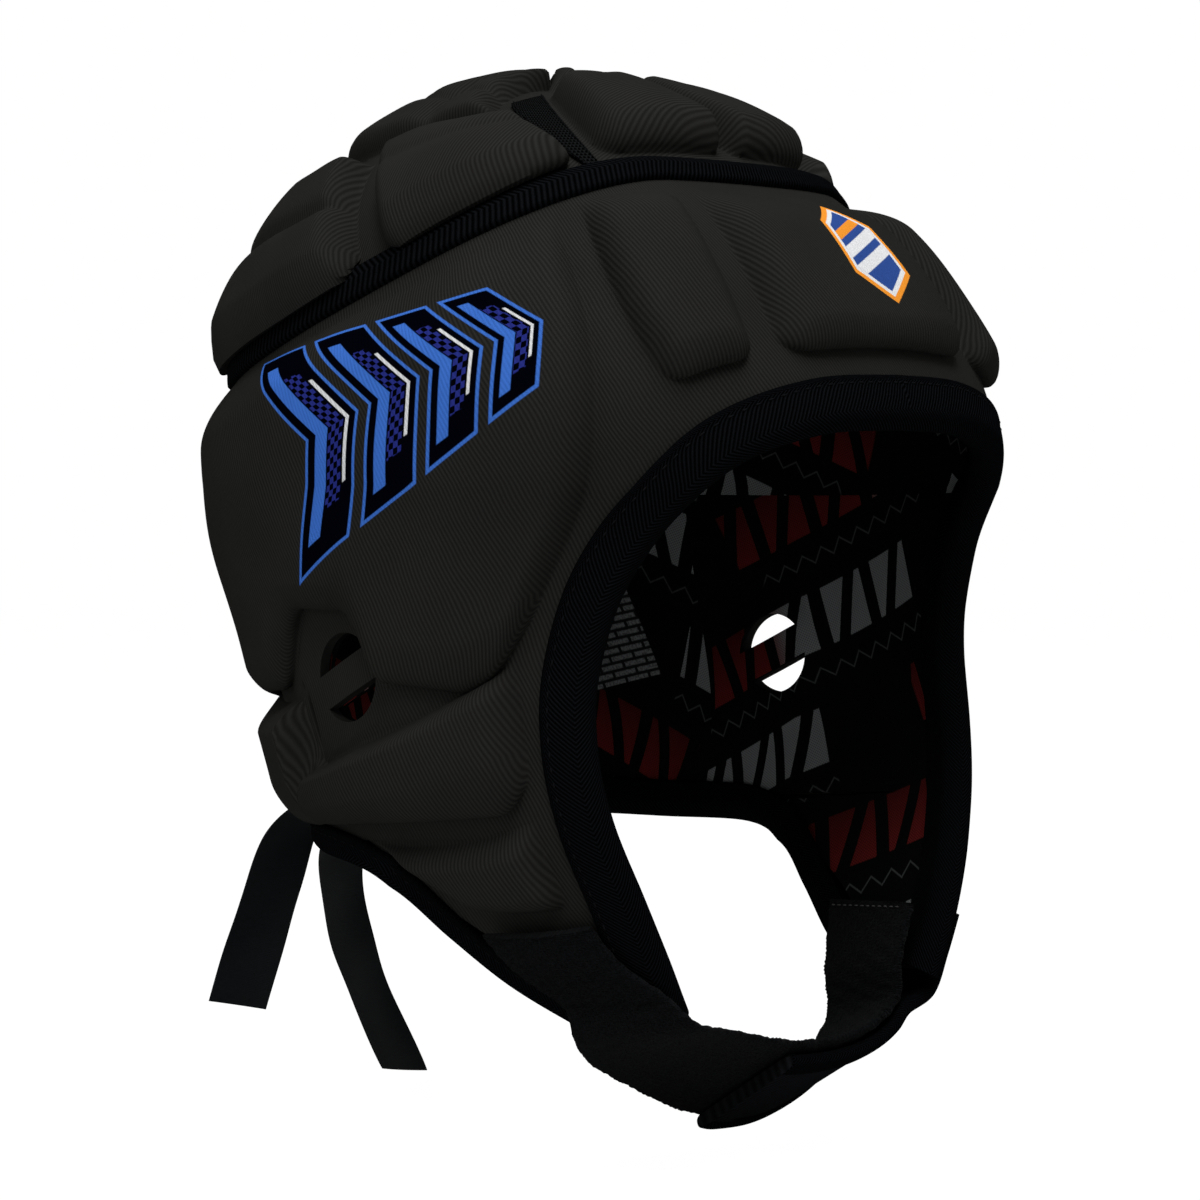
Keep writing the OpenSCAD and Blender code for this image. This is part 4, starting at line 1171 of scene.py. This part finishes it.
class HEADGEAR_OT_chin_strap(bpy.types.Operator):
    """Builds the loop pile strap, the hook strap that closes over it and the hook tape"""
    bl_idname = "headgear.chin_strap"
    bl_label = "Chin strap"

    def execute(self, context):
        c = colours()
        pile = fabric("loop_pile", c.pile, pile_group, 0.7, rough=1.0, sheen=0.015, low=0.2)
        woven = fabric("hook_strap_cloth", c.strap, knit_group, 0.3, low=0.1, Pitch=1.4, Slant=0.5)
        hooks = fabric("hook_tape", (0.003, 0.003, 0.0033), net_group, 0.5, rough=0.5, Count=4.5)

        def bow(s):
            return 3.0 * (1 - smooth(s / 3.2))

        def tuft(s, w):
            fine = np.sin(s * 61 + 3.1 * np.sin(w * 23)) * np.sin(w * 41 + 2.3 * np.sin(s * 37))
            return 0.22 * fine + 0.12 * np.sin(s * 17 + w * 9)

        def across(s, w):
            """Leaves the neck tape free on the right cheek, and frays the two edges."""
            narrowed = w + 0.46 * (1 - smooth((s - 2.1) / 1.5)) * (1 - w) / 2
            fray = np.sin(s * 83 + 2.0 * np.sin(s * 19)) + 0.6 * np.sin(s * 137 + 1.1)
            return narrowed + 0.011 * fray * np.abs(w) ** 12 * smooth((s - 3.2) / 0.5)

        strap("chin_loop_strap", LOOP_LINE, 0, 9, 0, STRAP_T, LOOP_W, pile, "loop_fleece", "cap", 540, 90,
              bow, tuft, across)
        end, w = np.full(24, END_ROW), np.linspace(-0.82, 0.82, 24)
        spots = strap_point(LOOP_LINE, end, STRAP_T / 2 + 0.3, w, LOOP_W)
        up = spots - strap_point(LOOP_LINE, end, 0, w, LOOP_W)
        pale = fabric("pale_thread", (0.09, 0.09, 0.088), twill_group, 0.02)
        stitches("strap_end_stitching", spots[::2], np.gradient(spots, axis=0)[::2], up[::2], 2.0, 0.4, pale,
                 "loop_fleece")
        top = len(HOOK_LINE) - 1
        strap("chin_hook_strap", HOOK_LINE, 0, top, 0, STRAP_T, HOOK_W, woven, "strap_webbing", "hook_strap",
              300, 60, more=lambda s, w: 0.55 * smooth((s - top + 1.3) / 0.1))
        hook_edge("hook_strap_binding_rear", -1)
        hook_edge("hook_strap_binding_front", 1)
        strap("hook_tape", LOOP_LINE, HOOK_TAPE_FROM, HOOK_TAPE_TO, -(STRAP_T + HOOK_T) / 2 - GAP, HOOK_T,
              HOOK_W - 4, hooks, "hook_nylon", "hook_strap", 90, 40)
        return {"FINISHED"}


class HEADGEAR_OT_lacing(bpy.types.Operator):
    """Builds the rear lace, its webbing loops and the two hanging ties"""
    bl_idname = "headgear.lacing"
    bl_label = "Rear lacing"

    def execute(self, context):
        satin = fabric("satin_ribbon", colours().ribbon, twill_group, 0.03, rough=0.5, specular=0.1, low=0.85,
                       Pitch=0.45, Band=60.0, Slope=0.15)
        step, length = even_edge(LACE_LINE)

        def lace(u, w, under):
            p = edge_place(LACE_LINE, step((u + 1) / 2), w * LACE_W / 2)
            return face_at(*p.T, np.where(under, GAP + 0.5, LACE_OUT - 0.1))
        cloth("rear_lace", 260, 10, lace, flat_map(length / 2, LACE_W / 2), satin, "tie_ribbon", sharp=60)
        for full, left in both("lace_loops"):
            for number, z in enumerate((-18, 6, 30)):
                def loop(u, w, under, z=z - (12 if left else 0)):
                    lift = (1 - np.abs(u) ** 3) ** 0.7
                    return at(172.5 + w * LOOP_HALF, z + u * LOOP_LEN / 2,
                              GAP * 0.5 + lift * (LACE_OUT + 0.7) + np.where(under, 0, 0.9))
                cloth(f"{full}_{number + 1}", 28, 12, loop, flat_map(6, 4), tape_cloth(), "binding_tape",
                      [full], left=left)
        tie("right", RIGHT_FALL, satin, 140, 30)
        tie("left", LEFT_FALL, satin, 160, -5)
        return {"FINISHED"}


# The camera's angles in degrees, its distance in metres and its lens in millimetres
CAMERA_AZ, CAMERA_EL, CAMERA_FAR, CAMERA_LENS = -47, 2, 0.9, 36 * 3.83 * 900 / 1200
# Each lamp's name, place, size and watts
LAMPS = (("key", (-0.72, -0.6, 1.02), 0.5, 7), ("fill", (0.9, -0.9, 0.35), 0.9, 1.8),
         ("top", (-0.1, -0.3, 1.2), 0.7, 9.5), ("rear", (0.3, 1.1, 0.5), 0.8, 4),
         ("left", (-1.0, 0.45, 0.35), 0.8, 2))


def aimed(name, data, place):
    """Stands a lamp or a camera at a place, turned to the middle."""
    made = linked(name, data)
    made.location = place
    made.rotation_mode = "QUATERNION"
    made.rotation_quaternion = (-Vector(place)).to_track_quat("-Z", "Y")
    return made


class HEADGEAR_OT_stage(bpy.types.Operator):
    """Sets the camera, the lamps, the white surroundings and the pale floor"""
    bl_idname = "headgear.stage"
    bl_label = "Stage"

    def execute(self, context):
        scene = context.scene
        az, el = math.radians(CAMERA_AZ), math.radians(CAMERA_EL)
        back = Vector((math.sin(az) * math.cos(el), -math.cos(az) * math.cos(el), math.sin(el)))
        lens = bpy.data.cameras.new("camera")
        lens.sensor_width, lens.lens = 36, CAMERA_LENS
        scene.camera = aimed("camera", lens, back * CAMERA_FAR)
        for name, place, size, watts in LAMPS:
            lamp = bpy.data.lights.new(name, "AREA")
            lamp.size, lamp.energy = size, watts
            aimed(name, lamp, place)
        scene.world = scene.world or bpy.data.worlds.new("surroundings")
        scene.world.use_nodes = True
        web = Web(scene.world.node_tree)
        rays = web.node("LightPath").outputs
        seen = web.math("MAXIMUM", rays["Is Camera Ray"], rays["Is Transmission Ray"])
        sky = web.out("Background", {"Color": (1, 1, 1, 1), "Strength": web.spread(seen, 0, 1, 0.17, 1.0)})
        web.node("OutputWorld", {0: sky})
        scene.view_settings.view_transform = "Standard"
        bm = bmesh.new()
        bmesh.ops.create_grid(bm, x_segments=1, y_segments=1, size=3)
        for vert in bm.verts:
            vert.co.z = min(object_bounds()[0].z, CAD_BOX[0].z) - 0.002
        floor = linked("floor", meshed(bm, "floor"))
        floor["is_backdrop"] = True
        pale = bpy.data.materials.new("pale_floor")
        pale.use_nodes = True
        web = Web(pale.node_tree)
        matt = web.out("BsdfDiffuse", {"Color": (0.6, 0.6, 0.6, 1)})
        glow = web.out("Emission", {"Color": (1, 1, 1, 1), "Strength": 1.12})
        seen = web.math("MULTIPLY", web.node("LightPath").outputs["Is Camera Ray"], 0.88)
        web.node("OutputMaterial", {0: web.out("MixShader", {0: seen, 1: matt, 2: glow})})
        floor.data.materials.append(pale)
        return {"FINISHED"}


STEPS = (HEADGEAR_OT_shell, HEADGEAR_OT_band_pads, HEADGEAR_OT_crown_pads, HEADGEAR_OT_lining,
         HEADGEAR_OT_tapes, HEADGEAR_OT_vents, HEADGEAR_OT_chin_strap, HEADGEAR_OT_lacing, HEADGEAR_OT_stage)


class HEADGEAR_PT_panel(bpy.types.Panel):
    """Lists the headgear's sizes, colours and building steps"""
    bl_label = "Headgear"
    bl_space_type = "VIEW_3D"
    bl_region_type = "UI"
    bl_category = "Headgear"

    def draw(self, context):
        column = self.layout.column()
        for owner in (sizes(), colours()):
            for key in owner.__annotations__:
                column.prop(owner, key)
        for step in STEPS:
            column.operator(step.bl_idname)


CLASSES = (HeadgearSizes, HeadgearColours, *STEPS, HEADGEAR_PT_panel)


def register():
    for cls in CLASSES:
        bpy.utils.register_class(cls)
    bpy.types.Scene.headgear_sizes = bpy.props.PointerProperty(type=HeadgearSizes)
    bpy.types.Scene.headgear_colours = bpy.props.PointerProperty(type=HeadgearColours)


def unregister():
    del bpy.types.Scene.headgear_colours
    del bpy.types.Scene.headgear_sizes
    for cls in reversed(CLASSES):
        bpy.utils.unregister_class(cls)


def main():
    register()
    for step in STEPS:
        getattr(bpy.ops.headgear, step.bl_idname.split(".")[1])()


if __name__ == "__main__":
    main()
